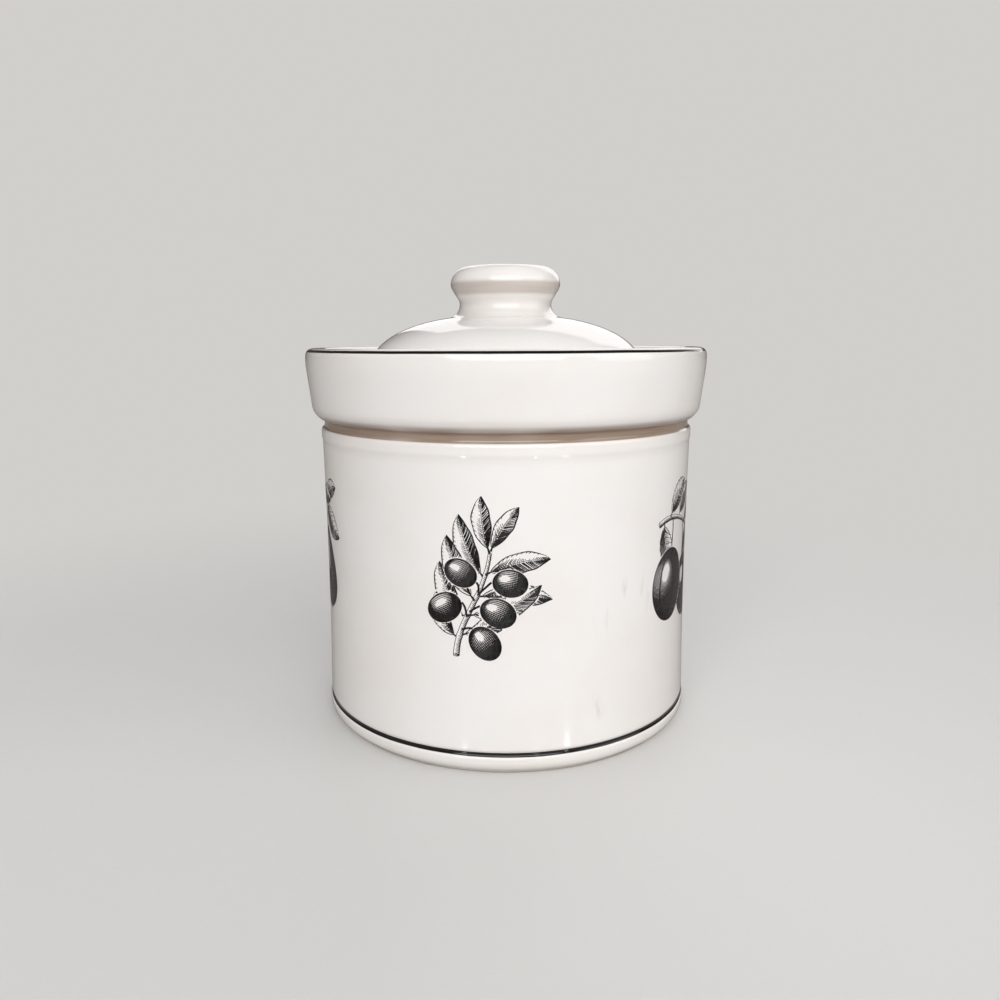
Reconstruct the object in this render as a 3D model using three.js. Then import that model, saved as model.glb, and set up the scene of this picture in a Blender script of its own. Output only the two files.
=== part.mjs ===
// A glazed stoneware kitchen canister: a turned jar with a flared collar, a domed lid
// with a knob that drops into the collar, and a soft seal ring on the lid's spigot.
// Millimetres, +Z up, origin on the table under the middle of the foot ring.
import * as THREE from "three";

// Driving sizes of the jar.
const rimHeight = 141.7;
const bodyRadius = 70.9;
const bodyWall = 6.2;
const footFlare = 0.4;
const waistDepth = 0.6;
const floorThickness = 4.6;
const floorFillet = 5;
const wallFillet = 8;

// The foot: a rounded band that stands on a bare ring round a shallow recess.
const footBandProud = 0.5;
const footBandHeight = 6.9;
const footBandRise = 3.3;
const footBandFillet = 4.5;
const footInset = 3.6;
const footRingWidth = 6;
const footRecess = 2.6;
const footLipFillet = 0.9;
const bandGrooveWidth = 1.8;
const bandGrooveDepth = 0.35;
const bandGrooveSlope = 0.4;

// The bead and the neck groove under the collar.
const beadProud = 0.3;
const beadHeight = 4.5;
const beadEase = 0.9;
const beadFillet = 1.2;
const neckDepth = 0.9;
const neckHeight = 3;
const neckSlope = 0.5;
const neckFillet = 0.6;

// The collar, its rounded underside and crown, and the gallery inside it that takes the lid.
const collarHeight = 26.4;
const collarOverhang = 4.1;
const collarTurn = 2.75;
const collarLift = 0.45;
const collarFootFillet = 6;
const collarFlare = 2;
const collarShoulder = 5.9;
const collarShoulderFillet = 12;
const collarDraw = 0.1;
const collarWall = 7.4;
const crownOuterFillet = 2.8;
const crownInnerFillet = 2.6;
const galleryDraft = 0.6;
const galleryDepth = 16.7;
const galleryFillet = 1;
const ledgeWidth = 5.5;
const ledgeFillet = 0.9;
const throatHeight = 13;
const throatTaper = 7;
const throatFillet = 4;

// The lid: a flange on the ledge, a dome, a knob, and a spigot that points down.
const lidClearance = 1.6;
const flangeThickness = 5.5;
const flangeWidth = 13.3;
const flangeTopFillet = 2.2;
const flangeBottomFillet = 1.1;
const domeHeight = 23.6;
const domeWall = 5.2;
const domeFootFillet = 2;
const knobHeight = 17.9;
const knobRadius = 21.35;
const knobCrown = 0.4;
const knobTopInset = 2.4;
const knobTopFillet = 6.8;
const knobHeadHeight = 7.2;
const knobHeadFillet = 4.3;
const knobUndercut = 3.8;
const knobGripHeight = 13.2;
const knobGripFillet = 3;
const stemFillet = 5;
const stemFlare = 7;
const knobWall = 6.5;
const knobHollowFillet = 4;
const spigotDepth = 12;
const spigotWall = 5.2;
const spigotLip = 1.1;
const spigotLipHeight = 1.8;
const spigotFillet = 0.8;
const spigotThroatFillet = 3;

// The seal ring: a band in the spigot's groove, with two fins that reach for the throat.
const sealReach = 4.3;
const sealGap = 0.3;
const sealShoulder = 1;
const sealGrooveDepth = 1;
const sealBand = 1.4;
const finRoot = 1.3;
const finTip = 0.7;
const finLift = 0.8;

// How finely curves are cut, and the shape of the dome and of the waisted wall.
const turnSteps = 48;
const arcStep = Math.PI / 5;
const filletRoom = 0.98;
const domeSteps = 7;
const wallSteps = 5;
const domeFullness = 2.35;
const domeStartShare = 0.04;
const finPlaceShares = [0.28, 0.72];

// Radii and heights that follow from the sizes above, the jar's first.
const footRadius = bodyRadius + footFlare;
const footBandRadius = footRadius + footBandProud;
const footContactRadius = footBandRadius - footInset;
const footInnerRadius = footContactRadius - footRingWidth;
const wallFoot = footBandHeight + bandGrooveWidth;
const floorTop = footRecess + floorThickness;
const innerRadius = bodyRadius - bodyWall;
const collarBottom = rimHeight - collarHeight;
const beadTop = collarBottom - neckHeight;
const beadBottom = beadTop - beadHeight;
const beadRadius = bodyRadius + beadProud;
const neckRadius = bodyRadius - neckDepth;
const collarFootRadius = neckRadius + collarOverhang;
const collarTurnBottom = collarBottom + collarLift;
const shoulderRadius = collarFootRadius + collarFlare;
const shoulderHeight = rimHeight - collarShoulder;
const rimRadius = shoulderRadius - collarDraw;
const galleryMouthRadius = rimRadius - collarWall;
const galleryRadius = galleryMouthRadius - galleryDraft;
const throatRadius = galleryRadius - ledgeWidth;
const seatHeight = rimHeight - galleryDepth;
const throatBottom = seatHeight - throatHeight;

// The lid's own heights count up from the ledge that it rests on.
const lidRadius = galleryRadius - lidClearance;
const domeRadius = lidRadius - flangeWidth;
const domeInnerRadius = domeRadius - domeWall;
const domeInnerHeight = domeHeight - domeWall;
const domeTop = flangeThickness + domeHeight;
const knobTop = domeTop + knobHeight;
const stemRadius = knobRadius - knobUndercut;
const knobHollowRadius = stemRadius - knobWall;
const knobHollowTop = knobTop - knobWall;
const spigotRadius = throatRadius - sealReach;
const spigotGrooveRadius = spigotRadius - sealGrooveDepth;
const spigotInnerRadius = spigotRadius - spigotWall;
const spigotLipTop = spigotLipHeight - spigotDepth;
const sealInnerRadius = spigotGrooveRadius + sealGap;
const sealBandRadius = sealInnerRadius + sealBand;
const finRadius = throatRadius - sealGap;
const sealTop = -sealShoulder - sealGap;
const sealBottom = spigotLipTop + sealGap;

const glaze = new THREE.MeshStandardMaterial({ color: 0xf1eeea, roughness: 0.16, metalness: 0 });
const silicone = new THREE.MeshStandardMaterial({ color: 0xd9d8d2, roughness: 0.55, metalness: 0 });

/** A corner of an outline: radius from the axis, height, and how far it is rounded. */
function corner(radius, height, fillet = 0) {
  return { place: new THREE.Vector2(radius, height), fillet };
}

/** Half the angle between a corner's two sides. */
function halfAngle(before, at, after) {
  const back = before.place.clone().sub(at.place).normalize();
  const on = after.place.clone().sub(at.place).normalize();
  return Math.acos(THREE.MathUtils.clamp(back.dot(on), -1, 1)) / 2;
}

/** The arc that rounds one corner, from a reach along one side to the same along the next. */
function filletArc(before, at, after, reach) {
  const back = before.place.clone().sub(at.place).normalize();
  const on = after.place.clone().sub(at.place).normalize();
  const half = halfAngle(before, at, after);
  const toCentre = reach / Math.cos(half);
  const centre = back.clone().add(on).normalize().multiplyScalar(toCentre).add(at.place);
  const first = back.clone().multiplyScalar(reach).add(at.place);
  const sweep = Math.PI - 2 * half;
  const side = Math.sign(back.cross(on)) || 1;
  const steps = Math.max(1, Math.ceil(sweep / arcStep));
  return Array.from({ length: steps + 1 }, (_, i) =>
    first.clone().rotateAround(centre, (-side * sweep * i) / steps),
  );
}

/** An outline through its corners; two fillets that need more than their side share it. */
function outline(corners, closed = false) {
  const count = corners.length;
  const next = (i) => corners[(i + 1) % count];
  const last = (i) => corners[(i + count - 1) % count];
  const rounded = corners.map((at, i) => at.fillet > 0 && (closed || (i > 0 && i < count - 1)));
  const wanted = corners.map((at, i) =>
    rounded[i] ? at.fillet / Math.tan(halfAngle(last(i), at, next(i))) : 0,
  );
  const fit = corners.map((at, i) => {
    const asked = wanted[i] + wanted[(i + 1) % count];
    const room = filletRoom * at.place.distanceTo(next(i).place);
    return asked > room ? room / asked : 1;
  });
  const points = corners.flatMap((at, i) => {
    const reach = wanted[i] * Math.min(fit[i], fit[(i + count - 1) % count]);
    return rounded[i] ? filletArc(last(i), at, next(i), reach) : [at.place.clone()];
  });
  return closed ? [...points, points[0].clone()] : points;
}

/** A named solid turned round the upright axis from an outline that runs anticlockwise. */
function turned(name, points, material) {
  const geometry = new THREE.LatheGeometry(points, turnSteps);
  geometry.rotateX(Math.PI / 2);
  const mesh = new THREE.Mesh(geometry, material);
  mesh.name = name;
  return mesh;
}

/** The plain wall from foot to bead, drawn in a little at mid height. */
function wallCurve() {
  return Array.from({ length: wallSteps + 1 }, (_, i) => {
    const share = i / wallSteps;
    const straight = THREE.MathUtils.lerp(footRadius, bodyRadius, share);
    const height = THREE.MathUtils.lerp(wallFoot + bandGrooveSlope, beadBottom, share);
    return corner(straight - waistDepth * Math.sin(Math.PI * share), height);
  });
}

/** A dome's height above its foot at a radius, fuller at the shoulder than an ellipse. */
function domeRise(radius, footRadiusOfDome, height) {
  const share = Math.min(1, radius / footRadiusOfDome);
  return height * (1 - share ** domeFullness) ** (1 / domeFullness);
}

/** Dome points from an inner radius out to the foot, closer together at the shoulder. */
function domeCurve(fromRadius, footRadiusOfDome, height, base) {
  return Array.from({ length: domeSteps }, (_, i) => {
    const share = THREE.MathUtils.lerp(domeStartShare, 1, i / domeSteps);
    const eased = Math.sin((share * Math.PI) / 2);
    const radius = THREE.MathUtils.lerp(fromRadius, footRadiusOfDome, eased);
    return corner(radius, base + domeRise(radius, footRadiusOfDome, height));
  });
}

/** The jar: foot ring, wall, bead, collar, gallery, throat and floor in one piece. */
function makeJar() {
  const grooveRadius = footRadius - bandGrooveDepth;
  const points = outline([
    corner(0, footRecess),
    corner(footInnerRadius, footRecess, footLipFillet),
    corner(footInnerRadius, 0, footLipFillet),
    corner(footContactRadius, 0, footLipFillet),
    corner(footBandRadius, footBandRise, footBandFillet),
    corner(footBandRadius, footBandHeight, bandGrooveSlope),
    corner(grooveRadius, footBandHeight + bandGrooveSlope),
    corner(grooveRadius, wallFoot),
    ...wallCurve(),
    corner(beadRadius, beadBottom + beadEase, beadEase),
    corner(beadRadius, beadTop, beadFillet),
    corner(neckRadius, beadTop + neckSlope, neckFillet),
    corner(neckRadius, collarBottom, neckFillet),
    corner(collarFootRadius - collarTurn, collarTurnBottom, collarFootFillet),
    corner(collarFootRadius, collarTurnBottom + collarTurn, collarFootFillet),
    corner(shoulderRadius, shoulderHeight, collarShoulderFillet),
    corner(rimRadius, rimHeight, crownOuterFillet),
    corner(galleryMouthRadius, rimHeight, crownInnerFillet),
    corner(galleryRadius, seatHeight, galleryFillet),
    corner(throatRadius, seatHeight, ledgeFillet),
    corner(throatRadius, throatBottom, throatFillet),
    corner(innerRadius, throatBottom - throatTaper, wallFillet),
    corner(innerRadius, floorTop, floorFillet),
    corner(0, floorTop),
  ]);
  return turned("stoneware_jar", points, glaze);
}

/** The lid: knob, dome and flange outside, spigot, dome and hollow knob inside. */
function makeLid() {
  const stemFoot = flangeThickness + domeRise(stemRadius, domeRadius, domeHeight);
  const hollowFoot = flangeThickness + domeRise(knobHollowRadius, domeInnerRadius, domeInnerHeight);
  const outside = [
    corner(0, knobTop),
    corner(knobRadius - knobTopInset, knobTop - knobCrown, knobTopFillet),
    corner(knobRadius, knobTop - knobHeadHeight, knobHeadFillet),
    corner(stemRadius, knobTop - knobGripHeight, knobGripFillet),
    corner(stemRadius, stemFoot, stemFillet),
    ...domeCurve(stemRadius + stemFlare, domeRadius, domeHeight, flangeThickness),
    corner(domeRadius, flangeThickness, domeFootFillet),
    corner(lidRadius, flangeThickness, flangeTopFillet),
    corner(lidRadius, 0, flangeBottomFillet),
  ];
  const under = [
    corner(spigotRadius, 0, spigotFillet),
    corner(spigotRadius, -sealShoulder),
    corner(spigotGrooveRadius, -sealShoulder),
    corner(spigotGrooveRadius, spigotLipTop),
    corner(spigotGrooveRadius + spigotLip, spigotLipTop),
    corner(spigotGrooveRadius + spigotLip, -spigotDepth, spigotFillet),
    corner(spigotInnerRadius, -spigotDepth, spigotFillet),
    corner(spigotInnerRadius, 0, spigotThroatFillet),
    corner(domeInnerRadius, flangeThickness, spigotThroatFillet),
    ...domeCurve(knobHollowRadius, domeInnerRadius, domeInnerHeight, flangeThickness).reverse(),
    corner(knobHollowRadius, hollowFoot),
    corner(knobHollowRadius, knobHollowTop, knobHollowFillet),
    corner(0, knobHollowTop),
  ];
  return turned("stoneware_lid", outline([...outside, ...under]).reverse(), glaze);
}

/** One fin of the seal as corners from its lower root, out to its raised tip, and back. */
function finCorners(middle) {
  return [
    corner(sealBandRadius, middle - finRoot / 2),
    corner(finRadius, middle + finLift - finTip / 2),
    corner(finRadius, middle + finLift + finTip / 2),
    corner(sealBandRadius, middle + finRoot / 2),
  ];
}

/** The seal ring, a closed loop turned round the axis. */
function makeSeal() {
  const fins = finPlaceShares.flatMap((share) =>
    finCorners(THREE.MathUtils.lerp(sealBottom, sealTop, share)),
  );
  const points = outline(
    [
      corner(sealInnerRadius, sealBottom),
      corner(sealBandRadius, sealBottom),
      ...fins,
      corner(sealBandRadius, sealTop),
      corner(sealInnerRadius, sealTop),
    ],
    true,
  );
  return turned("lid_seal_ring", points, silicone);
}

// The lid and its seal share a group that stands on the gallery's ledge.
const lidGroup = new THREE.Group();
lidGroup.position.z = seatHeight;
lidGroup.add(makeLid(), makeSeal());

const canister = new THREE.Group();
canister.add(makeJar(), lidGroup);

export default canister;
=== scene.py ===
"""The looks of a glazed stoneware canister with a domed lid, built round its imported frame.

Lengths are in metres, +Z is up, and the origin is on the table under the middle of the foot.
The canister faces -Y, and +X is to the right of someone who looks at its front. The printed
sprigs are drawn on a flat plate in millimetres and then laid on the wall.
"""
from __future__ import annotations

import logging
import math
from dataclasses import asdict, dataclass, field, replace
from enum import Enum
from functools import reduce
from typing import Any

import bmesh
import bpy
import numpy as np
from mathutils import Matrix, Vector

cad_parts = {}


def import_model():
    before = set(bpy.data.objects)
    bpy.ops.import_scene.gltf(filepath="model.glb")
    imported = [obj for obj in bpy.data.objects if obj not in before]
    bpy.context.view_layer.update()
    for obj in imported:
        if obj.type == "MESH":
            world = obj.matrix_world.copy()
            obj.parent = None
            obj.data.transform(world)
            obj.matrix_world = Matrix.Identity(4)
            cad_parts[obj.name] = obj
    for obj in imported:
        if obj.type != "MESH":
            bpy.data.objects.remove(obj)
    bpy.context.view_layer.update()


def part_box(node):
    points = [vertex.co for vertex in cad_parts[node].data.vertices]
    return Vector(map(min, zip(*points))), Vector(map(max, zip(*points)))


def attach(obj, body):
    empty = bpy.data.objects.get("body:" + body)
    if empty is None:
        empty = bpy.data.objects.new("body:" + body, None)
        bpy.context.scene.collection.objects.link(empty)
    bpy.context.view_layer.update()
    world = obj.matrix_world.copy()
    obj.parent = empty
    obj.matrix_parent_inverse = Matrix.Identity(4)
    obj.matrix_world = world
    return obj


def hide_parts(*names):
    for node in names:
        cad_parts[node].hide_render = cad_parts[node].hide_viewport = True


LOG = logging.getLogger("canister")
MILLIMETRE = 0.001
TINY = 1e-9
BAND_OVERRUN = 0.001
GLAZE_IOR = 1.52
POOLING = "pooling"
LINE_HALF = "line_half"
LEVEL = (1.0, 1.0, 0.0)

Colour = tuple[float, ...]
Place = tuple[float, float, float]
Span = tuple[float, float]
Array = np.ndarray
Node = bpy.types.Node
Socket = bpy.types.NodeSocket
Material = bpy.types.Material
Piece = bpy.types.Object


def paint(red: int, green: int, blue: int) -> Colour:
    """Turn a display colour, 0 to 255, into the linear colour that a shader takes."""
    shares = (red / 255, green / 255, blue / 255)
    return (*(c / 12.92 if c <= 0.04045 else ((c + 0.055) / 1.055) ** 2.4 for c in shares), 1.0)


def heading_to(angle: float) -> Vector:
    """Give the level direction at an angle from the front, which grows towards +X."""
    return Vector((math.sin(angle), -math.cos(angle), 0.0))


class SocketKind(Enum):
    """The kinds of socket that the node groups here take and give."""

    NUMBER = "NodeSocketFloat"
    WHOLE = "NodeSocketInt"
    PLACE = "NodeSocketVector"
    COLOUR = "NodeSocketColor"
    SHAPE = "NodeSocketGeometry"
    OBJECT = "NodeSocketObject"
    FINISH = "NodeSocketMaterial"


@dataclass(frozen=True)
class Grain:
    """A noise over a surface, and the results that its values from low to high are mapped to."""

    scale: float
    detail: float
    low: float
    high: float
    to_low: float = 0.0
    to_high: float = 1.0


@dataclass(frozen=True)
class Ripple:
    """Low relief read from a noise: its scale, its detail and its height in metres."""

    scale: float
    detail: float
    height: float


@dataclass(frozen=True)
class Dots:
    """Scattered dots: cells in a metre, the share left empty, size in cells, and strength."""

    scale: float
    empty_share: float
    size_share: float
    strength: float


class Wiring:
    """Adds nodes to one tree and joins them, so that a tree reads as a list of steps."""

    def __init__(self, tree: bpy.types.NodeTree) -> None:
        """Keep the tree that the steps go into."""
        self.tree = tree

    def feed(self, socket: Socket, source: Any) -> None:
        """Join an output to a socket, or set the socket where the source is a plain value.

        Args:
            socket: The input that receives.
            source: An output socket, a node whose first output is meant, or a value.
        """
        if isinstance(source, Node):
            source = source.outputs[0]
        if isinstance(source, Socket):
            self.tree.links.new(source, socket)
        else:
            socket.default_value = source

    def add(self, kind: str, feeds: dict[Any, Any] | None = None, **settings: Any) -> Node:
        """Add one node.

        Args:
            kind: The node's type name.
            feeds: What goes into its inputs, by input name or number.
            **settings: The node's own properties.

        Returns:
            The new node.
        """
        node = self.tree.nodes.new(kind)
        for name, value in settings.items():
            setattr(node, name, value)
        for key, source in (feeds or {}).items():
            self.feed(node.inputs[key], source)
        return node

    def math(self, operation: str, *terms: Any, clamp: bool = False) -> Socket:
        """Add a Math node and give its result."""
        feeds = dict(enumerate(terms))
        return self.add("ShaderNodeMath", feeds, operation=operation, use_clamp=clamp).outputs[0]

    def product(self, *terms: Any) -> Socket:
        """Multiply numbers in order and give the result."""
        return reduce(lambda result, term: self.math("MULTIPLY", result, term), terms)

    def vector(self, operation: str, *terms: Any) -> Socket:
        """Add a Vector Math node and give its first result that is in use."""
        node = self.add("ShaderNodeVectorMath", dict(enumerate(terms)), operation=operation)
        return next(socket for socket in node.outputs if socket.enabled)

    def scaled(self, vector: Any, factor: Any) -> Socket:
        """Multiply a vector by a number and give the result."""
        return self.add("ShaderNodeVectorMath", {0: vector, 3: factor}, operation="SCALE").outputs[0]

    def remap(self, value: Any, low: Any, high: Any, to_low: Any = 0.0, to_high: Any = 1.0,
              smooth: bool = True) -> Socket:
        """Map a value from one range to another, held at both ends.

        Args:
            value: What is mapped.
            low: The value that gives to_low.
            high: The value that gives to_high.
            to_low: The result at and below low.
            to_high: The result at and above high.
            smooth: Whether the way between is eased.

        Returns:
            The mapped value.
        """
        kind = "SMOOTHSTEP" if smooth else "LINEAR"
        feeds = dict(enumerate((value, low, high, to_low, to_high)))
        node = self.add("ShaderNodeMapRange", feeds, interpolation_type=kind, clamp=True)
        return node.outputs[0]

    def mix(self, share: Any, first: Any, second: Any) -> Socket:
        """Mix two colours by a share, on the node's own sockets for colours."""
        return self.add("ShaderNodeMix", {0: share, 6: first, 7: second}, data_type="RGBA").outputs[2]

    def mix_number(self, share: Any, first: Any, second: Any) -> Socket:
        """Mix two numbers by a share, on the node's own sockets for numbers."""
        return self.add("ShaderNodeMix", {0: share, 2: first, 3: second}).outputs[0]

    def noise(self, place: Any, scale: float, detail: float, flat: bool = False) -> Socket:
        """Add a noise over a place, or over a single number where flat is set."""
        feeds = {"W" if flat else "Vector": place, "Scale": scale, "Detail": detail}
        return self.add("ShaderNodeTexNoise", feeds, noise_dimensions="1D" if flat else "3D").outputs[0]

    def grain(self, place: Any, grain: Grain) -> Socket:
        """Add a grain's noise over a place and map its values."""
        noise = self.noise(place, grain.scale, grain.detail)
        return self.remap(noise, grain.low, grain.high, grain.to_low, grain.to_high)

    def ripple(self, place: Any, ripple: Ripple, flat: bool = False) -> Socket:
        """Add low relief over a place, or over a single number where flat is set."""
        return self.math("MULTIPLY", self.noise(place, ripple.scale, ripple.detail, flat), ripple.height)

    def surface_place(self) -> Socket:
        """Give the place on the piece that a pattern is read at."""
        return self.add("ShaderNodeTexCoord").outputs["Object"]

    def height_of(self, place: Any) -> Socket:
        """Give a place's height."""
        return self.add("ShaderNodeSeparateXYZ", {0: place}).outputs["Z"]

    def radius_of(self, place: Any) -> Socket:
        """Give a place's distance from the upright axis."""
        return self.vector("LENGTH", self.vector("MULTIPLY", place, LEVEL))


class NodeGroup:
    """A node group with named inputs and outputs, built once and then placed by name."""

    def __init__(self, name: str, tree_kind: str, takes: dict[str, SocketKind],
                 gives: dict[str, SocketKind]) -> None:
        """Make the empty group.

        Args:
            name: The group's name.
            tree_kind: ShaderNodeTree or GeometryNodeTree.
            takes: Each input's kind by its name.
            gives: Each output's kind by its name.
        """
        self.tree = bpy.data.node_groups.new(name, tree_kind)
        self.wire = Wiring(self.tree)
        for way, sockets in (("INPUT", takes), ("OUTPUT", gives)):
            for title, kind in sockets.items():
                self.tree.interface.new_socket(title, in_out=way, socket_type=kind.value)
        self.source = self.tree.nodes.new("NodeGroupInput")
        self.sink = self.tree.nodes.new("NodeGroupOutput")

    def take(self, title: str) -> Socket:
        """Give the inner end of a named input."""
        return self.source.outputs[title]

    def give(self, title: str, source: Any) -> None:
        """Join a result to a named output."""
        self.wire.feed(self.sink.inputs[title], source)

    def place(self, wire: Wiring, **feeds: Any) -> Node:
        """Place the group in a material.

        Args:
            wire: The material's tree.
            **feeds: Inputs by name, in small letters and with an underscore for each space.

        Returns:
            The group node.
        """
        node = wire.add("ShaderNodeGroup", node_tree=self.tree)
        for name, source in feeds.items():
            wire.feed(node.inputs[name.replace("_", " ").title()], source)
        return node


def numbers(*titles: str) -> dict[str, SocketKind]:
    """Name sockets that are all numbers."""
    return dict.fromkeys(titles, SocketKind.NUMBER)


def colours(*titles: str) -> dict[str, SocketKind]:
    """Name sockets that are all colours."""
    return dict.fromkeys(titles, SocketKind.COLOUR)


SKIN = {**colours("Colour"), **numbers("Roughness", "Relief")}
MASK = numbers("Mask")


class GlazeSkin(NodeGroup):
    """The skin of a fired glaze: clouds, pooling and painted shade in hollows, specks, pinholes, a faint
    swell.
    """

    clouds: Grain = Grain(26.0, 3.0, 0.35, 0.68)
    mottle: Grain = Grain(90.0, 2.0, 0.3, 0.7, 0.92, 1.06)
    haze: Grain = Grain(34.0, 4.0, 0.40, 0.72, 0.0, 0.07)
    specks: Dots = Dots(95.0, 0.965, 0.030, 0.72)
    fine_specks: Dots = Dots(260.0, 0.975, 0.050, 0.38)
    pinholes: Dots = Dots(150.0, 0.955, 0.034, -0.00003)
    dot_size_shares: Span = (0.5, 1.9)
    dot_core_share: float = 0.55
    swell: Ripple = Ripple(62.0, 1.0, 0.000075)
    peel: Ripple = Ripple(420.0, 1.0, 0.0000045)
    turning: Ripple = Ripple(330.0, 2.0, 0.0000065)

    def __init__(self) -> None:
        """Build the group's nodes."""
        takes = {**colours("Glaze", "Cloud", "Pool", "Thin", "Speck"),
                 **numbers("Pooling", "Pool Share", "Thin Share", "Least Roughness")}
        super().__init__("Glaze Skin", "ShaderNodeTree", takes, gives=SKIN)
        wire = self.wire
        place = wire.surface_place()
        colour = wire.mix(wire.grain(place, self.clouds), self.take("Glaze"), self.take("Cloud"))
        # Pooled glaze in the hollows, its darker colour there also painted shade.
        depth = wire.math("MULTIPLY", self.take("Pooling"), wire.grain(place, self.mottle))
        pool = wire.math("MULTIPLY", wire.math("MAXIMUM", depth, 0.0), self.take("Pool Share"), clamp=True)
        colour = wire.mix(pool, colour, self.take("Pool"))
        edge = wire.math("MAXIMUM", wire.math("MULTIPLY", depth, -1.0), 0.0)
        thin = wire.math("MULTIPLY", edge, self.take("Thin Share"), clamp=True)
        colour = wire.mix(thin, colour, self.take("Thin"))
        dark = wire.math("MAXIMUM", self.scatter(place, self.specks), self.scatter(place, self.fine_specks))
        self.give("Colour", wire.mix(dark, colour, self.take("Speck")))
        haze = wire.grain(place, self.haze)
        self.give("Roughness", wire.math("ADD", self.take("Least Roughness"), haze))
        broad = wire.math("ADD", wire.ripple(place, self.swell), wire.ripple(place, self.peel))
        turning = wire.ripple(wire.height_of(place), self.turning, flat=True)
        fine = wire.math("ADD", turning, self.scatter(place, self.pinholes))
        self.give("Relief", wire.math("ADD", broad, fine))

    def scatter(self, place: Any, dots: Dots) -> Socket:
        """Scatter soft dots over a place.

        Args:
            place: Where the pattern is read.
            dots: What the dots are like.

        Returns:
            A mask that is the dots' strength inside a dot and zero between them.
        """
        wire = self.wire
        cells = wire.add("ShaderNodeTexVoronoi", {"Vector": place, "Scale": dots.scale})
        chance = wire.add("ShaderNodeSeparateColor", {0: cells.outputs["Color"]})
        chosen = wire.math("GREATER_THAN", chance.outputs[0], dots.empty_share)
        least, most = (dots.size_share * share for share in self.dot_size_shares)
        size = wire.remap(chance.outputs[1], 0.0, 1.0, least, most, smooth=False)
        core = wire.math("MULTIPLY", size, self.dot_core_share)
        dot = wire.remap(cells.outputs["Distance"], core, size, 1.0, 0.0)
        return wire.product(chosen, dot, dots.strength)


class BareClay(NodeGroup):
    """Unglazed fired stoneware: sandy, matt and freckled with grog."""

    sand: Grain = Grain(1500.0, 3.0, 0.42, 0.66)
    flush: Grain = Grain(60.0, 2.0, 0.3, 0.7, 0.0, 0.35)
    grit: Ripple = Ripple(1300.0, 3.0, 0.00007)
    sand_share: float = 0.7
    plain_roughness: float = 0.92
    sandy_roughness: float = 0.78

    def __init__(self) -> None:
        """Build the group's nodes."""
        super().__init__("Bare Clay", "ShaderNodeTree", colours("Clay", "Grog"), gives=SKIN)
        wire = self.wire
        place = wire.surface_place()
        sand = wire.grain(place, self.sand)
        flush = wire.grain(place, self.flush)
        grog = wire.math("MAXIMUM", wire.math("MULTIPLY", sand, self.sand_share), flush)
        self.give("Colour", wire.mix(grog, self.take("Clay"), self.take("Grog")))
        self.give("Roughness", wire.remap(sand, 0.0, 1.0, self.plain_roughness, self.sandy_roughness))
        self.give("Relief", wire.ripple(place, self.grit))


class LevelBand(NodeGroup):
    """A level band round the upright axis with a slightly unsteady, brushed edge."""

    hand_scale: float = 55.0
    hand_detail: float = 3.0

    def __init__(self) -> None:
        """Build the group's nodes."""
        takes = numbers("Low", "High", "Least Radius", "Softness", "Unsteady")
        super().__init__("Level Band", "ShaderNodeTree", takes, gives=MASK)
        wire = self.wire
        place = wire.surface_place()
        shake = wire.math("SUBTRACT", wire.noise(place, self.hand_scale, self.hand_detail), 0.5)
        height = wire.math("MULTIPLY_ADD", shake, self.take("Unsteady"), wire.height_of(place))
        soft, low, high = self.take("Softness"), self.take("Low"), self.take("High")
        above = wire.remap(height, wire.math("SUBTRACT", low, soft), wire.math("ADD", low, soft))
        below = wire.remap(height, wire.math("SUBTRACT", high, soft), wire.math("ADD", high, soft),
                           1.0, 0.0)
        outside = wire.math("GREATER_THAN", wire.radius_of(place), self.take("Least Radius"))
        self.give("Mask", wire.product(above, below, outside))


class GrooveShade(NodeGroup):
    """Painted shade: a brown darkening in a groove where shade falls, broken into fine level streaks."""

    stretch: Place = (60.0, 60.0, 2600.0)
    streaks: Grain = Grain(1.0, 2.0, 0.35, 0.65, 0.86, 1.0)
    patches: Grain = Grain(22.0, 2.0, 0.32, 0.48, 0.66, 1.0)

    def __init__(self) -> None:
        """Build the group's nodes."""
        takes = numbers("Low", "High", "Rise", "Fade", "Least Radius", "Strength")
        super().__init__("Groove Stain", "ShaderNodeTree", takes, gives=MASK)
        wire = self.wire
        place = wire.surface_place()
        height = wire.height_of(place)
        low, high = self.take("Low"), self.take("High")
        above = wire.remap(height, wire.math("SUBTRACT", low, self.take("Rise")), low)
        below = wire.remap(height, high, wire.math("ADD", high, self.take("Fade")), 1.0, 0.0)
        outside = wire.math("GREATER_THAN", wire.radius_of(place), self.take("Least Radius"))
        streaks = wire.grain(wire.vector("MULTIPLY", place, self.stretch), self.streaks)
        patches = wire.grain(place, self.patches)
        self.give("Mask", wire.product(above, below, outside, streaks, patches, self.take("Strength")))


class UseMarks(NodeGroup):
    """Faint dry smears that handling leaves on a pale glaze, kept to one soft patch."""

    lean: Place = (0.0, 0.9, 0.3)
    stretch: Place = (1.6, 1.0, 0.42)
    smears: Grain = Grain(150.0, 4.0, 0.53, 0.70)

    def __init__(self) -> None:
        """Build the group's nodes."""
        takes = {"Middle": SocketKind.PLACE, **numbers("Reach", "Strength")}
        super().__init__("Use Marks", "ShaderNodeTree", takes, gives=MASK)
        wire = self.wire
        place = wire.surface_place()
        far = wire.vector("DISTANCE", place, self.take("Middle"))
        patch = wire.remap(far, 0.0, self.take("Reach"), 1.0, 0.0)
        turned = wire.add("ShaderNodeMapping",
                          {"Vector": place, "Rotation": self.lean, "Scale": self.stretch}).outputs[0]
        self.give("Mask", wire.product(patch, wire.grain(turned, self.smears), self.take("Strength")))


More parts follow.
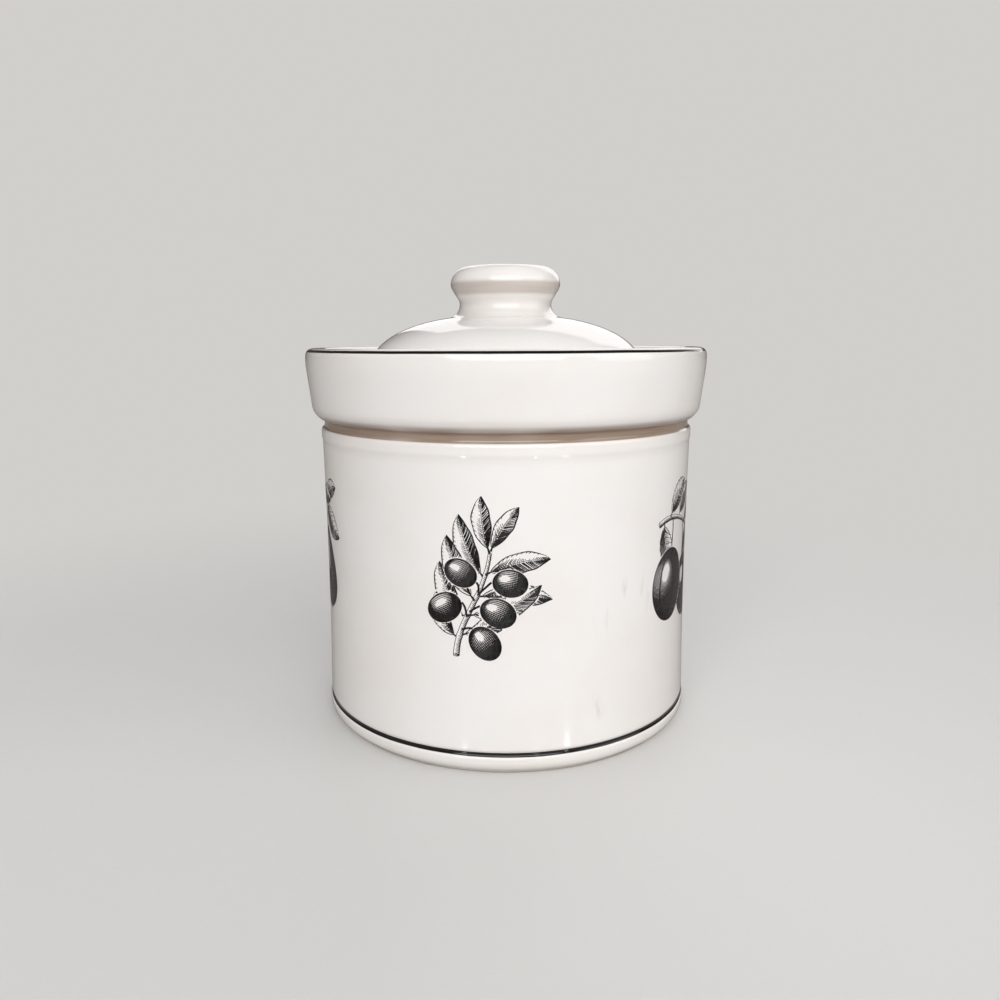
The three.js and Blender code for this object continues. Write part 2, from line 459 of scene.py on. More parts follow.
@dataclass
class Workshop:
    """The shader groups that the finishes share, each built once."""

    glaze: GlazeSkin = field(default_factory=GlazeSkin)
    clay: BareClay = field(default_factory=BareClay)
    band: LevelBand = field(default_factory=LevelBand)
    marks: UseMarks = field(default_factory=UseMarks)
    stain: GrooveShade = field(default_factory=GrooveShade)


@dataclass(frozen=True)
class Band:
    """A painted band on a glazed piece, between two heights and outside a radius."""

    low: float
    high: float
    least_radius: float = 0.0
    softness: float = 0.00009
    unsteady: float = 0.00022


@dataclass(frozen=True)
class BareBand(Band):
    """A band that is left bare of glaze, with a more ragged edge than a painted one."""

    softness: float = 0.00012
    unsteady: float = 0.0009


@dataclass(frozen=True)
class ShadePlace:
    """A groove with painted shade: its heights, how the shade rises and fades there, and its strength."""

    low: float
    high: float
    rise: float
    fade: float
    least_radius: float
    strength: float


@dataclass(frozen=True)
class SmearPlace:
    """A faint smear on a wall: its angle from the front, its height, reach and strength."""

    angle: float
    height: float
    reach: float
    strength: float

    def middle(self, wall_radius: float) -> Vector:
        """Give the smear's middle on a wall."""
        return heading_to(self.angle) * wall_radius + Vector((0, 0, self.height))


@dataclass(frozen=True)
class GlazeFinish:
    """Glossy warm white glaze with painted bands, bare clay where the kiln shelf touched, and painted shade
    in grooves.
    """

    name: str
    wall_radius: float = 0.0
    painted: tuple[Band, ...] = ()
    bare: tuple[BareBand, ...] = ()
    smears: tuple[SmearPlace, ...] = ()
    stains: tuple[ShadePlace, ...] = ()
    glaze: Colour = paint(241, 238, 236)
    cloud: Colour = paint(238, 234, 231)
    # Pooled glaze in hollows, darkened further as painted shade there.
    pool: Colour = paint(176, 160, 145)
    thin: Colour = paint(229, 218, 204)
    speck: Colour = paint(74, 56, 42)
    line: Colour = paint(12, 12, 13)
    clay: Colour = paint(190, 164, 134)
    grog: Colour = paint(158, 128, 98)
    smear: Colour = paint(196, 176, 150)
    # Painted shade: the brown that darkens grooves where shade falls.
    stain: Colour = paint(143, 122, 104)
    pool_share: float = 0.85
    thin_share: float = 0.30
    least_roughness: float = 0.07
    smear_roughness: float = 0.42
    coat_weight: float = 0.35
    coat_roughness: float = 0.03

    def build(self, shop: Workshop) -> Material:
        """Build the material.

        Args:
            shop: The shader groups.

        Returns:
            The glaze material.
        """
        material, wire, shader = new_material(self.name)
        pooling = wire.add("ShaderNodeAttribute", attribute_name=POOLING).outputs["Fac"]
        skin = shop.glaze.place(
            wire, glaze=self.glaze, cloud=self.cloud, pool=self.pool, thin=self.thin, speck=self.speck,
            pooling=pooling, pool_share=self.pool_share, thin_share=self.thin_share,
            least_roughness=self.least_roughness,
        )
        colour, roughness, relief = (skin.outputs[title] for title in SKIN)
        for smear in self.smears:
            mark = shop.marks.place(wire, middle=smear.middle(self.wall_radius), reach=smear.reach,
                                    strength=smear.strength)
            colour = wire.mix(mark, colour, self.smear)
            roughness = wire.mix_number(mark, roughness, self.smear_roughness)
        # Painted shade in the grooves under the jar's collar and under the lid's knob head.
        for stain in self.stains:
            colour = wire.mix(shop.stain.place(wire, **asdict(stain)), colour, self.stain)
        for band in self.painted:
            colour = wire.mix(shop.band.place(wire, **asdict(band)), colour, self.line)
        for band in self.bare:
            mask = shop.band.place(wire, **asdict(band))
            clay = shop.clay.place(wire, clay=self.clay, grog=self.grog)
            colour = wire.mix(mask, colour, clay.outputs["Colour"])
            roughness = wire.mix_number(mask, roughness, clay.outputs["Roughness"])
            relief = wire.mix_number(mask, relief, clay.outputs["Relief"])
        dress(wire, shader, colour, roughness, relief)
        shader.inputs["IOR"].default_value = GLAZE_IOR
        shader.inputs["Coat Weight"].default_value = self.coat_weight
        shader.inputs["Coat Roughness"].default_value = self.coat_roughness
        return material


@dataclass(frozen=True)
class InkFinish:
    """Black print fired under the glaze, a little thinner here and there."""

    name: str = "fired_black_print"
    ink: Colour = paint(14, 13, 13)
    worn: Colour = paint(34, 31, 29)
    wear: Grain = Grain(900.0, 3.0, 0.50, 0.72, 0.0, 0.75)
    full_roughness: float = 0.16
    worn_roughness: float = 0.26

    def build(self) -> Material:
        """Build the material.

        Returns:
            The ink.
        """
        material, wire, shader = new_material(self.name)
        place = wire.surface_place()
        wear = wire.grain(place, self.wear)
        roughness = wire.remap(wear, 0.0, 1.0, self.full_roughness, self.worn_roughness)
        colour = wire.mix(wear, self.ink, self.worn)
        dress(wire, shader, colour, roughness, wire.ripple(place, GlazeSkin.peel))
        shader.inputs["IOR"].default_value = GLAZE_IOR
        return material


@dataclass(frozen=True)
class SiliconeFinish:
    """Milky moulded silicone with a matt skin and a little dust."""

    name: str = "milky_silicone"
    body: Colour = paint(222, 220, 213)
    shade: Colour = paint(206, 203, 194)
    clouds: Grain = Grain(90.0, 4.0, 0.35, 0.70)
    dust: Grain = Grain(260.0, 3.0, 0.3, 0.7, 0.42, 0.58)
    skin: Ripple = Ripple(1600.0, 2.0, 0.000012)
    glow_weight: float = 0.25
    glow_depth: float = 0.002

    def build(self) -> Material:
        """Build the material.

        Returns:
            The silicone.
        """
        material, wire, shader = new_material(self.name)
        place = wire.surface_place()
        colour = wire.mix(wire.grain(place, self.clouds), self.body, self.shade)
        dress(wire, shader, colour, wire.grain(place, self.dust), wire.ripple(place, self.skin))
        shader.inputs["Subsurface Weight"].default_value = self.glow_weight
        shader.inputs["Subsurface Scale"].default_value = self.glow_depth
        return material


def new_object(name: str, data: Any) -> Piece:
    """Make an object and put it in the scene.

    Args:
        name: Its name.
        data: Its mesh, camera or lamp.

    Returns:
        The object.
    """
    piece = bpy.data.objects.new(name, data)
    bpy.context.scene.collection.objects.link(piece)
    return piece


def new_material(name: str) -> tuple[Material, Wiring, Node]:
    """Make an empty node material.

    Args:
        name: The material's name.

    Returns:
        The material, its wiring and its Principled BSDF.
    """
    material = bpy.data.materials.new(name)
    material.use_nodes = True
    shader = material.node_tree.nodes["Principled BSDF"]
    return material, Wiring(material.node_tree), shader


def dress(wire: Wiring, shader: Node, colour: Any, roughness: Any, relief: Any) -> None:
    """Give a Principled BSDF its colour, its roughness and its relief.

    Args:
        wire: The material's tree.
        shader: The Principled BSDF.
        colour: The base colour.
        roughness: The roughness.
        relief: The height of the skin, in metres.
    """
    wire.feed(shader.inputs["Base Color"], colour)
    wire.feed(shader.inputs["Roughness"], roughness)
    bump = wire.add("ShaderNodeBump", {"Strength": 1.0, "Distance": 1.0, "Height": relief})
    wire.feed(shader.inputs["Normal"], bump)


@dataclass(frozen=True)
class Corner:
    """One corner of a turned outline, and the radius that it is rounded to."""

    radius: float
    height: float
    fillet: float = 0.0


class Ends(Enum):
    """How an outline finishes: on the upright axis at both ends, or back at its start."""

    ON_AXIS = "on_axis"
    JOINED = "joined"


@dataclass
class TurnedOutline:
    """An outline through corners, softened as glaze softens clay, and cut where it bends."""

    corners: list[Corner]
    ends: Ends = Ends.ON_AXIS
    softening: float = 0.00035
    sample: float = 0.0001
    longest: float = 0.0036
    shortest: float = 0.00022
    bend_step: float = math.radians(7.5)
    growth: float = 0.42
    fillet_room: float = 0.98
    pool_spread: float = 0.0011
    full_pool_bend: float = 430.0
    arc_step: float = math.radians(3)
    fewest_points: int = 16
    blur_spreads: int = 3

    def reaches(self) -> Array:
        """Measure how far each corner's arc reaches along its sides.

        Returns:
            The reaches, smaller than asked where a side is too short for both its arcs.
        """
        places = np.array([(c.radius, c.height) for c in self.corners])
        count = len(places)
        wanted = np.zeros(count)
        for i, corner in enumerate(self.corners):
            is_end = self.ends is Ends.ON_AXIS and i in (0, count - 1)
            if corner.fillet > 0 and not is_end:
                _, _, half = self.meeting(places[i - 1], places[i], places[(i + 1) % count])
                wanted[i] = corner.fillet / math.tan(half)
        sides = np.linalg.norm(np.roll(places, -1, axis=0) - places, axis=1)
        asked = np.maximum(wanted + np.roll(wanted, -1), TINY)
        fit = np.minimum(1.0, self.fillet_room * sides / asked)
        return wanted * np.minimum(fit, np.roll(fit, 1))

    @staticmethod
    def meeting(before: Array, at: Array, after: Array) -> tuple[Array, Array, float]:
        """Measure how two sides meet at a corner.

        Args:
            before: The corner before it.
            at: The corner itself.
            after: The corner after it.

        Returns:
            The directions back and onward from it, and half the angle between them.
        """
        back, onward = before - at, after - at
        back = back / np.linalg.norm(back)
        onward = onward / np.linalg.norm(onward)
        return back, onward, math.acos(float(np.clip(back @ onward, -1, 1))) / 2

    def rounded(self) -> Array:
        """Draw each fillet as an arc.

        Returns:
            The outline's points in order.
        """
        places = [np.array((c.radius, c.height)) for c in self.corners]
        points: list[Array] = []
        for i, reach in enumerate(self.reaches()):
            if reach > 0:
                points += self.arc(places[i - 1], places[i], places[(i + 1) % len(places)], reach)
            else:
                points.append(places[i])
        if self.ends is Ends.JOINED:
            points.append(points[0])
        return np.array(points)

    def arc(self, before: Array, at: Array, after: Array, reach: float) -> list[Array]:
        """Draw the arc that rounds one corner.

        Args:
            before: The corner before it.
            at: The corner itself.
            after: The corner after it.
            reach: How far along its sides the arc starts and ends.

        Returns:
            Points on the arc.
        """
        back, onward, half = self.meeting(before, at, after)
        middle_way = (back + onward) / np.linalg.norm(back + onward)
        centre = at + middle_way * reach / math.cos(half)
        start = at + back * reach - centre
        side = math.copysign(1.0, back[0] * onward[1] - back[1] * onward[0])
        sweep = math.pi - 2 * half
        steps = max(2, math.ceil(sweep / self.arc_step))
        turned = []
        for i in range(steps + 1):
            angle = -side * sweep * i / steps
            turn = np.array(((math.cos(angle), -math.sin(angle)), (math.sin(angle), math.cos(angle))))
            turned.append(centre + turn @ start)
        return turned

    def evened(self) -> Array:
        """Place points evenly along the rounded outline.

        Returns:
            The even points.
        """
        points = self.rounded()
        run = np.concatenate(([0.0], np.cumsum(np.linalg.norm(np.diff(points, axis=0), axis=1))))
        count = max(self.fewest_points, round(run[-1] / self.sample))
        stops = np.linspace(0.0, run[-1], count + 1)
        return np.column_stack([np.interp(stops, run, points[:, k]) for k in range(2)])

    def smoothed(self, values: Array, spread: float, flip: float) -> Array:
        """Blur values along the outline.

        Args:
            values: One value for each even point.
            spread: The blur's reach along the outline.
            flip: What a value is multiplied by across the axis.

        Returns:
            The blurred values.
        """
        reach = max(1, math.ceil(self.blur_spreads * spread / self.sample))
        kernel = np.exp(-0.5 * (np.arange(-reach, reach + 1) * self.sample / spread) ** 2)
        kernel /= kernel.sum()
        if self.ends is Ends.JOINED:
            body = values[:-1]
            padded = np.concatenate((body[-reach:], body, body[:reach]))
            blurred = np.convolve(padded, kernel, mode="valid")
            return np.concatenate((blurred, blurred[:1]))
        before = flip * values[1:reach + 1][::-1]
        after = flip * values[-reach - 1:-1][::-1]
        return np.convolve(np.concatenate((before, values, after)), kernel, mode="valid")

    def cut(self) -> tuple[Array, Array]:
        """Choose the outline's final points, close together where it bends.

        Returns:
            The points as radius and height, and the pooling at each, from -1 to 1.
        """
        even = self.evened()
        soft = np.column_stack((self.smoothed(even[:, 0], self.softening, -1.0),
                                self.smoothed(even[:, 1], self.softening, 1.0)))
        step = np.linalg.norm(np.diff(soft, axis=0), axis=1)
        run = np.concatenate(([0.0], np.cumsum(step)))
        slope = np.gradient(soft, run, axis=0)
        turn = np.unwrap(np.arctan2(slope[:, 1], slope[:, 0]))
        bend = np.gradient(turn, run)
        wanted = np.clip(self.bend_step / np.maximum(np.abs(bend), TINY), self.shortest, self.longest)
        limit = np.diff(run) * self.growth
        for i in range(1, len(wanted)):
            wanted[i] = min(wanted[i], wanted[i - 1] + limit[i - 1])
        for i in range(len(wanted) - 2, -1, -1):
            wanted[i] = min(wanted[i], wanted[i + 1] + limit[i])
        spent = np.concatenate(([0.0], np.cumsum(np.diff(run) / wanted[:-1])))
        count = math.ceil(spent[-1])
        stops = np.interp(np.linspace(0.0, spent[-1], count + 1), spent, run)
        points = np.column_stack([np.interp(stops, run, soft[:, k]) for k in range(2)])
        # Concavity along the outline: positive in hollows, where the glaze shows pooled glaze and painted
        # shade, negative on edges, where it thins.
        pooled = self.smoothed(-bend, self.pool_spread, 1.0) / self.full_pool_bend
        pooling = np.interp(stops, run, np.clip(pooled, -1.0, 1.0))
        if self.ends is Ends.ON_AXIS:
            points[0, 0] = points[-1, 0] = 0.0
        return points, pooling


class Ware:
    """Shared tools that turn outlines and lay prints, each with its own node tree."""

    hub_radius: float = 0.01
    weld: float = 0.000001
    waver_scale: float = 18.0
    waver_detail: float = 1.0
    line_section: float = 2.0
    ray_start: float = 1.2

    def __init__(self) -> None:
        """Build the node trees."""
        self.turner = self.build_turner()
        self.transfer = self.build_transfer()

    def build_turner(self) -> NodeGroup:
        """Build the tree that turns an outline round the upright axis, unsteady by a hair.

        Returns:
            The tree.
        """
        group = NodeGroup("Turned Body", "GeometryNodeTree",
                          takes={"Outline": SocketKind.SHAPE, "Segments": SocketKind.WHOLE,
                                 **numbers("Waver", "Seed"), "Finish": SocketKind.FINISH},
                          gives={"Body": SocketKind.SHAPE})
        wire = group.wire
        profile = wire.add("GeometryNodeMeshToCurve", {0: group.take("Outline")})
        circle = wire.add("GeometryNodeCurvePrimitiveCircle",
                          {"Resolution": group.take("Segments"), "Radius": self.hub_radius})
        upright = wire.add("GeometryNodeSetCurveNormal", {"Curve": circle})
        upright.mode = "Z_UP"
        swept = wire.add("GeometryNodeCurveToMesh", {"Curve": upright, "Profile Curve": profile})
        closed = wire.add("GeometryNodeMergeByDistance", {"Geometry": swept, "Distance": self.weld})
        place = wire.add("GeometryNodeInputPosition").outputs[0]
        outward = wire.vector("NORMALIZE", wire.vector("MULTIPLY", place, LEVEL))
        feeds = {"Vector": place, "W": group.take("Seed"), "Scale": self.waver_scale,
                 "Detail": self.waver_detail}
        noise = wire.add("ShaderNodeTexNoise", feeds, noise_dimensions="4D").outputs[0]
        push = wire.product(wire.math("SUBTRACT", noise, 0.5), group.take("Waver"), 2.0)
        moved = wire.add("GeometryNodeSetPosition",
                         {"Geometry": closed, "Offset": wire.scaled(outward, push)})
        shaded = wire.add("GeometryNodeSetShadeSmooth", {"Geometry": moved, "Shade Smooth": True})
        real = wire.add("GeometryNodeRealizeInstances", {"Geometry": shaded})
        group.give("Body", wire.add("GeometryNodeSetMaterial",
                                    {"Geometry": real, "Material": group.take("Finish")}))
        return group

    def build_transfer(self) -> NodeGroup:
        """Build the tree that gives flat lines a body and lays them on a wall.

        Returns:
            The tree.
        """
        group = NodeGroup("Laid Print", "GeometryNodeTree",
                          takes={"Lines": SocketKind.SHAPE, "Wall": SocketKind.OBJECT,
                                 **numbers("Wrap Radius", "Angle", "Lift", "Tilt", "Proud"),
                                 "Finish": SocketKind.FINISH},
                          gives={"Print": SocketKind.SHAPE})
        wire = group.wire
        lines = wire.add("GeometryNodeMeshToCurve", {0: group.take("Lines")})
        upright = wire.add("GeometryNodeSetCurveNormal", {"Curve": lines})
        upright.mode = "Z_UP"
        section = wire.add("GeometryNodeCurvePrimitiveQuadrilateral",
                           {"Width": self.line_section, "Height": self.line_section})
        half = wire.add("GeometryNodeInputNamedAttribute", {"Name": LINE_HALF}, data_type="FLOAT")
        ribbon = wire.add("GeometryNodeCurveToMesh",
                          {"Curve": upright, "Profile Curve": section, "Scale": half, "Fill Caps": True})
        turned = wire.add("ShaderNodeVectorRotate",
                          {"Vector": wire.add("GeometryNodeInputPosition"), "Angle": group.take("Tilt")},
                          rotation_type="Z_AXIS")
        flat = wire.add("ShaderNodeSeparateXYZ", {0: turned})
        wrap = group.take("Wrap Radius")
        angle = wire.math("ADD", wire.math("DIVIDE", flat.outputs["X"], wrap), group.take("Angle"))
        height = wire.math("ADD", flat.outputs["Y"], group.take("Lift"))
        across, along = wire.math("SINE", angle), wire.math("MULTIPLY", wire.math("COSINE", angle), -1.0)
        outward = wire.add("ShaderNodeCombineXYZ", {0: across, 1: along}).outputs[0]
        level = wire.scaled(outward, wire.math("MULTIPLY", wrap, self.ray_start))
        start = wire.vector("ADD", level, wire.add("ShaderNodeCombineXYZ", {2: height}))
        wall = wire.add("GeometryNodeObjectInfo", {"Object": group.take("Wall")})
        hit = wire.add("GeometryNodeRaycast",
                       {"Target Geometry": wall.outputs["Geometry"], "Source Position": start,
                        "Ray Direction": wire.scaled(outward, -1.0), "Ray Length": wrap})
        side = wire.math("SIGN", flat.outputs["Z"])
        proud = wire.math("MULTIPLY", side, group.take("Proud"))
        lift = wire.scaled(hit.outputs["Hit Normal"], proud)
        place = wire.vector("ADD", hit.outputs["Hit Position"], lift)
        laid = wire.add("GeometryNodeSetPosition", {"Geometry": ribbon, "Position": place})
        real = wire.add("GeometryNodeRealizeInstances", {"Geometry": laid})
        group.give("Print", wire.add("GeometryNodeSetMaterial",
                                     {"Geometry": real, "Material": group.take("Finish")}))
        return group

    def turn(self, name: str, outline: TurnedOutline, finish: Material,
             segments: int = 240, waver: float = 0.0, seed: float = 0.0) -> Piece:
        """Turn an outline into a closed body.

        Args:
            name: The new piece's name.
            outline: The outline, anticlockwise as seen with the axis on the left.
            finish: The material it takes.
            segments: How many steps go round.
            waver: How far the wall wavers in and out.
            seed: Which waver it gets.

        Returns:
            The piece, a plain mesh.
        """
        points, pooling = outline.cut()
        if outline.ends is Ends.JOINED:
            points, pooling = points[:-1], pooling[:-1]
        places = [(r - self.hub_radius, -z, 0.0) for r, z in points]
        edges = [(i, i + 1) for i in range(len(places) - 1)]
        if outline.ends is Ends.JOINED:
            edges.append((len(places) - 1, 0))
        maker = line_object(name, places, edges, POOLING, pooling)
        values = {"Segments": segments, "Waver": waver, "Seed": seed, "Finish": finish}
        return made_plain(maker, self.turner, values)

    def lay(self, name: str, strokes: list[Array], values: dict[str, Any]) -> Piece:
        """Lay engraved lines on a wall.

        Args:
            name: The new piece's name.
            strokes: Each line's points on the plate and half widths, in millimetres.
            values: The transfer tree's inputs by name.

        Returns:
            The piece, a plain mesh.
        """
        places: list[Place] = []
        edges: list[tuple[int, int]] = []
        for stroke in strokes:
            first = len(places)
            places += [(x * MILLIMETRE, y * MILLIMETRE, 0.0) for x, y, _ in stroke]
            edges += [(i, i + 1) for i in range(first, len(places) - 1)]
        halves = np.concatenate([stroke[:, 2] for stroke in strokes]) * MILLIMETRE
        maker = line_object(name, places, edges, LINE_HALF, halves)
        return made_plain(maker, self.transfer, values)


def line_object(name: str, places: list[Place], edges: list[tuple[int, int]],
                attribute: str, values: Array) -> Piece:
    """Make an object of bare edges that carries one value at each point.

    Args:
        name: The object's name.
        places: The points.
        edges: Pairs of point numbers.
        attribute: The name that the values are kept under.
        values: One value for each point.

    Returns:
        The object, linked into the scene.
    """
    mesh = bpy.data.meshes.new(name)
    mesh.from_pydata(places, edges, [])
    carried = mesh.attributes.new(attribute, "FLOAT", "POINT")
    carried.data.foreach_set("value", np.asarray(values, np.float32))
    return new_object(name, mesh)


def enclosed_volume(mesh: bpy.types.Mesh) -> float:
    """Measure the volume inside a closed mesh.

    Args:
        mesh: The mesh.

    Returns:
        The volume, negative where the faces point inwards.
    """
    shape = bmesh.new()
    shape.from_mesh(mesh)
    volume = shape.calc_volume(signed=True)
    shape.free()
    return volume


def made_plain(maker: Piece, group: NodeGroup, values: dict[str, Any]) -> Piece:
    """Run a node tree on an object and keep its result as a plain mesh.

    Args:
        maker: The object that the tree starts from.
        group: The geometry node tree.
        values: The tree's inputs by name.

    Returns:
        The same object with the finished mesh and no modifier.
    """
    modifier = maker.modifiers.new(group.tree.name, "NODES")
    modifier.node_group = group.tree
    for item in group.tree.interface.items_tree:
        if item.in_out == "INPUT" and item.name in values:
            modifier[item.identifier] = values[item.name]
    bpy.context.view_layer.update()
    graph = bpy.context.evaluated_depsgraph_get()
    mesh = bpy.data.meshes.new_from_object(maker.evaluated_get(graph), preserve_all_data_layers=True,
                                           depsgraph=graph)
    mesh.name = maker.name
    if enclosed_volume(mesh) < 0:
        mesh.flip_normals()
    maker.modifiers.clear()
    maker.data = mesh
    LOG.info("%s: %d points, %d faces", maker.name, len(mesh.vertices), len(mesh.polygons))
    return maker


@dataclass
class Jar:
    """The jar: foot, wall, bead, neck groove, collar and gallery, with its painted lines."""

    shoulder_radius: float
    rim_height: float
    collar_height: float = 0.0264
    collar_overhang: float = 0.0041
    collar_turn: float = 0.00275
    collar_lift: float = 0.00045
    collar_foot_fillet: float = 0.006
    collar_flare: float = 0.002
    collar_shoulder: float = 0.0059
    collar_shoulder_fillet: float = 0.012
    collar_draw: float = 0.0001
    collar_wall: float = 0.0074
    crown_outer_fillet: float = 0.0028
    crown_inner_fillet: float = 0.0026
    neck_depth: float = 0.0009
    neck_height: float = 0.003
    neck_slope: float = 0.0005
    neck_fillet: float = 0.0006
    bead_proud: float = 0.0003
    bead_height: float = 0.0045
    bead_ease: float = 0.0009
    bead_fillet: float = 0.0012
    body_wall: float = 0.0062
    waist_depth: float = 0.0006
    wall_steps: int = 9
    wall_easing: float = 0.03
    foot_flare: float = 0.0004
    foot_band_proud: float = 0.0005
    foot_band_height: float = 0.0069
    foot_band_rise: float = 0.0033
    foot_band_fillet: float = 0.0045
    foot_inset: float = 0.0036
    foot_ring_width: float = 0.006
    foot_recess: float = 0.0026
    foot_lip_fillet: float = 0.0009
    line_groove_width: float = 0.0018
    line_groove_depth: float = 0.00035
    line_groove_slope: float = 0.0004
    floor_thickness: float = 0.0046
    floor_fillet: float = 0.005
    wall_fillet: float = 0.008
    gallery_draft: float = 0.0006
    gallery_depth: float = 0.0167
    gallery_fillet: float = 0.001
    ledge_width: float = 0.0055
    ledge_fillet: float = 0.0009
    throat_height: float = 0.013
    throat_taper: float = 0.007
    throat_fillet: float = 0.004
    rim_line_low: float = 0.00138
    rim_line_high: float = 0.0005
    rim_line_inset: float = 0.0025
    # Painted shade in the neck groove, under the collar's overhang.
    stain_rise: float = 0.0003
    stain_climb: float = 0.0003
    stain_fade: float = 0.0024
    stain_strength: float = 0.95
    foot_line_middle: float = 0.0078
    foot_line_half: float = 0.00072
    foot_line_inset: float = 0.002
    bare_foot_height: float = 0.0003
    bare_foot_width: float = 0.0115
    smears: tuple[SmearPlace, ...] = (
        SmearPlace(math.radians(36), 0.0555, 0.017, 0.50),
        SmearPlace(math.radians(22.5), 0.0215, 0.008, 0.55),
        SmearPlace(math.radians(205), 0.075, 0.02, 0.30),
    )
    waver: float = 0.00011
    waver_seed: float = 1.7

    def __post_init__(self) -> None:
        """Work out the radii and heights that several methods use."""
        self.rim_radius = self.shoulder_radius - self.collar_draw
        self.collar_foot_radius = self.shoulder_radius - self.collar_flare
        self.neck_radius = self.collar_foot_radius - self.collar_overhang
        self.body_radius = self.neck_radius + self.neck_depth
        self.foot_radius = self.body_radius + self.foot_flare
        self.collar_bottom = self.rim_height - self.collar_height
        self.collar_turn_bottom = self.collar_bottom + self.collar_lift
        self.bead_top = self.collar_bottom - self.neck_height
        self.bead_bottom = self.bead_top - self.bead_height
        self.wall_foot = self.foot_band_height + self.line_groove_width

    @classmethod
    def from_frame(cls) -> Jar:
        """Take the overall sizes from the frame's jar."""
        _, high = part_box("stoneware_jar")
        return cls(shoulder_radius=high.x, rim_height=high.z)

    def wall(self) -> list[Corner]:
        """Draw the plain wall from the foot line to the bead, drawn in at mid height.

        Returns:
            Its corners from the bottom up.
        """
        low, high = self.wall_foot + self.line_groove_slope, self.bead_bottom
        corners = []
        for i in range(self.wall_steps + 1):
            share = i / self.wall_steps
            straight = self.foot_radius + (self.body_radius - self.foot_radius) * share
            radius = straight - self.waist_depth * math.sin(math.pi * share)
            easing = self.wall_easing if 0 < i < self.wall_steps else 0.0
            corners.append(Corner(radius, low + (high - low) * share, easing))
        return corners

    def outline(self) -> TurnedOutline:
        """Draw the whole jar from the middle of its recess out, up, in and down.

        Returns:
            The outline.
        """
        band_radius = self.foot_radius + self.foot_band_proud
        contact = band_radius - self.foot_inset
        inner_foot = contact - self.foot_ring_width
        groove = self.foot_radius - self.line_groove_depth
        bead_radius = self.body_radius + self.bead_proud
        collar_foot = self.collar_foot_radius
        collar_turn_bottom = self.collar_turn_bottom
        shoulder = self.rim_height - self.collar_shoulder
        mouth = self.rim_radius - self.collar_wall
        gallery = mouth - self.gallery_draft
        throat = gallery - self.ledge_width
        seat = self.rim_height - self.gallery_depth
        throat_bottom = seat - self.throat_height
        inner = self.body_radius - self.body_wall
        floor = self.foot_recess + self.floor_thickness
        return TurnedOutline([
            Corner(0.0, self.foot_recess),
            Corner(inner_foot, self.foot_recess, self.foot_lip_fillet),
            Corner(inner_foot, 0.0, self.foot_lip_fillet),
            Corner(contact, 0.0, self.foot_lip_fillet),
            Corner(band_radius, self.foot_band_rise, self.foot_band_fillet),
            Corner(band_radius, self.foot_band_height, self.line_groove_slope),
            Corner(groove, self.foot_band_height + self.line_groove_slope),
            Corner(groove, self.wall_foot),
            *self.wall(),
            Corner(bead_radius, self.bead_bottom + self.bead_ease, self.bead_ease),
            Corner(bead_radius, self.bead_top, self.bead_fillet),
            Corner(self.neck_radius, self.bead_top + self.neck_slope, self.neck_fillet),
            Corner(self.neck_radius, self.collar_bottom, self.neck_fillet),
            Corner(collar_foot - self.collar_turn, collar_turn_bottom, self.collar_foot_fillet),
            Corner(collar_foot, collar_turn_bottom + self.collar_turn, self.collar_foot_fillet),
            Corner(self.shoulder_radius, shoulder, self.collar_shoulder_fillet),
            Corner(self.rim_radius, self.rim_height, self.crown_outer_fillet),
            Corner(mouth, self.rim_height, self.crown_inner_fillet),
            Corner(gallery, seat, self.gallery_fillet),
            Corner(throat, seat, self.ledge_fillet),
            Corner(throat, throat_bottom, self.throat_fillet),
            Corner(inner, throat_bottom - self.throat_taper, self.wall_fillet),
            Corner(inner, floor, self.floor_fillet),
            Corner(0.0, floor),
        ])

    def finish(self) -> GlazeFinish:
        """Say where the jar has painted bands, bare clay and smears, and painted shade under its collar.

        Returns:
            Its glaze.
        """
        rim_inside = self.rim_radius - self.rim_line_inset
        painted = (
            Band(self.rim_height - self.rim_line_low, self.rim_height - self.rim_line_high, rim_inside),
            Band(self.foot_line_middle - self.foot_line_half, self.foot_line_middle + self.foot_line_half,
                 self.foot_radius - self.foot_line_inset),
        )
        inside = self.foot_radius - self.bare_foot_width
        bare = (BareBand(-BAND_OVERRUN, self.bare_foot_height, inside),)
        # Painted shade under the collar, full in the neck groove and fading up the collar's underside.
        stains = (ShadePlace(self.bead_top + self.stain_rise, self.collar_turn_bottom + self.stain_climb,
                             self.stain_rise, self.stain_fade, self.neck_radius - self.neck_depth,
                             self.stain_strength),)
        return GlazeFinish("white_glaze_jar", self.body_radius, painted, bare, self.smears, stains)

    def build(self, ware: Ware, shop: Workshop) -> Piece:
        """Build the jar and let it stand for the frame's jar.

        Args:
            ware: The node trees.
            shop: The shader groups.

        Returns:
            The jar.
        """
        piece = ware.turn("glazed_jar", self.outline(), self.finish().build(shop), waver=self.waver,
                          seed=self.waver_seed)
        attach(piece, "jar")
        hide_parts("stoneware_jar")
        return piece


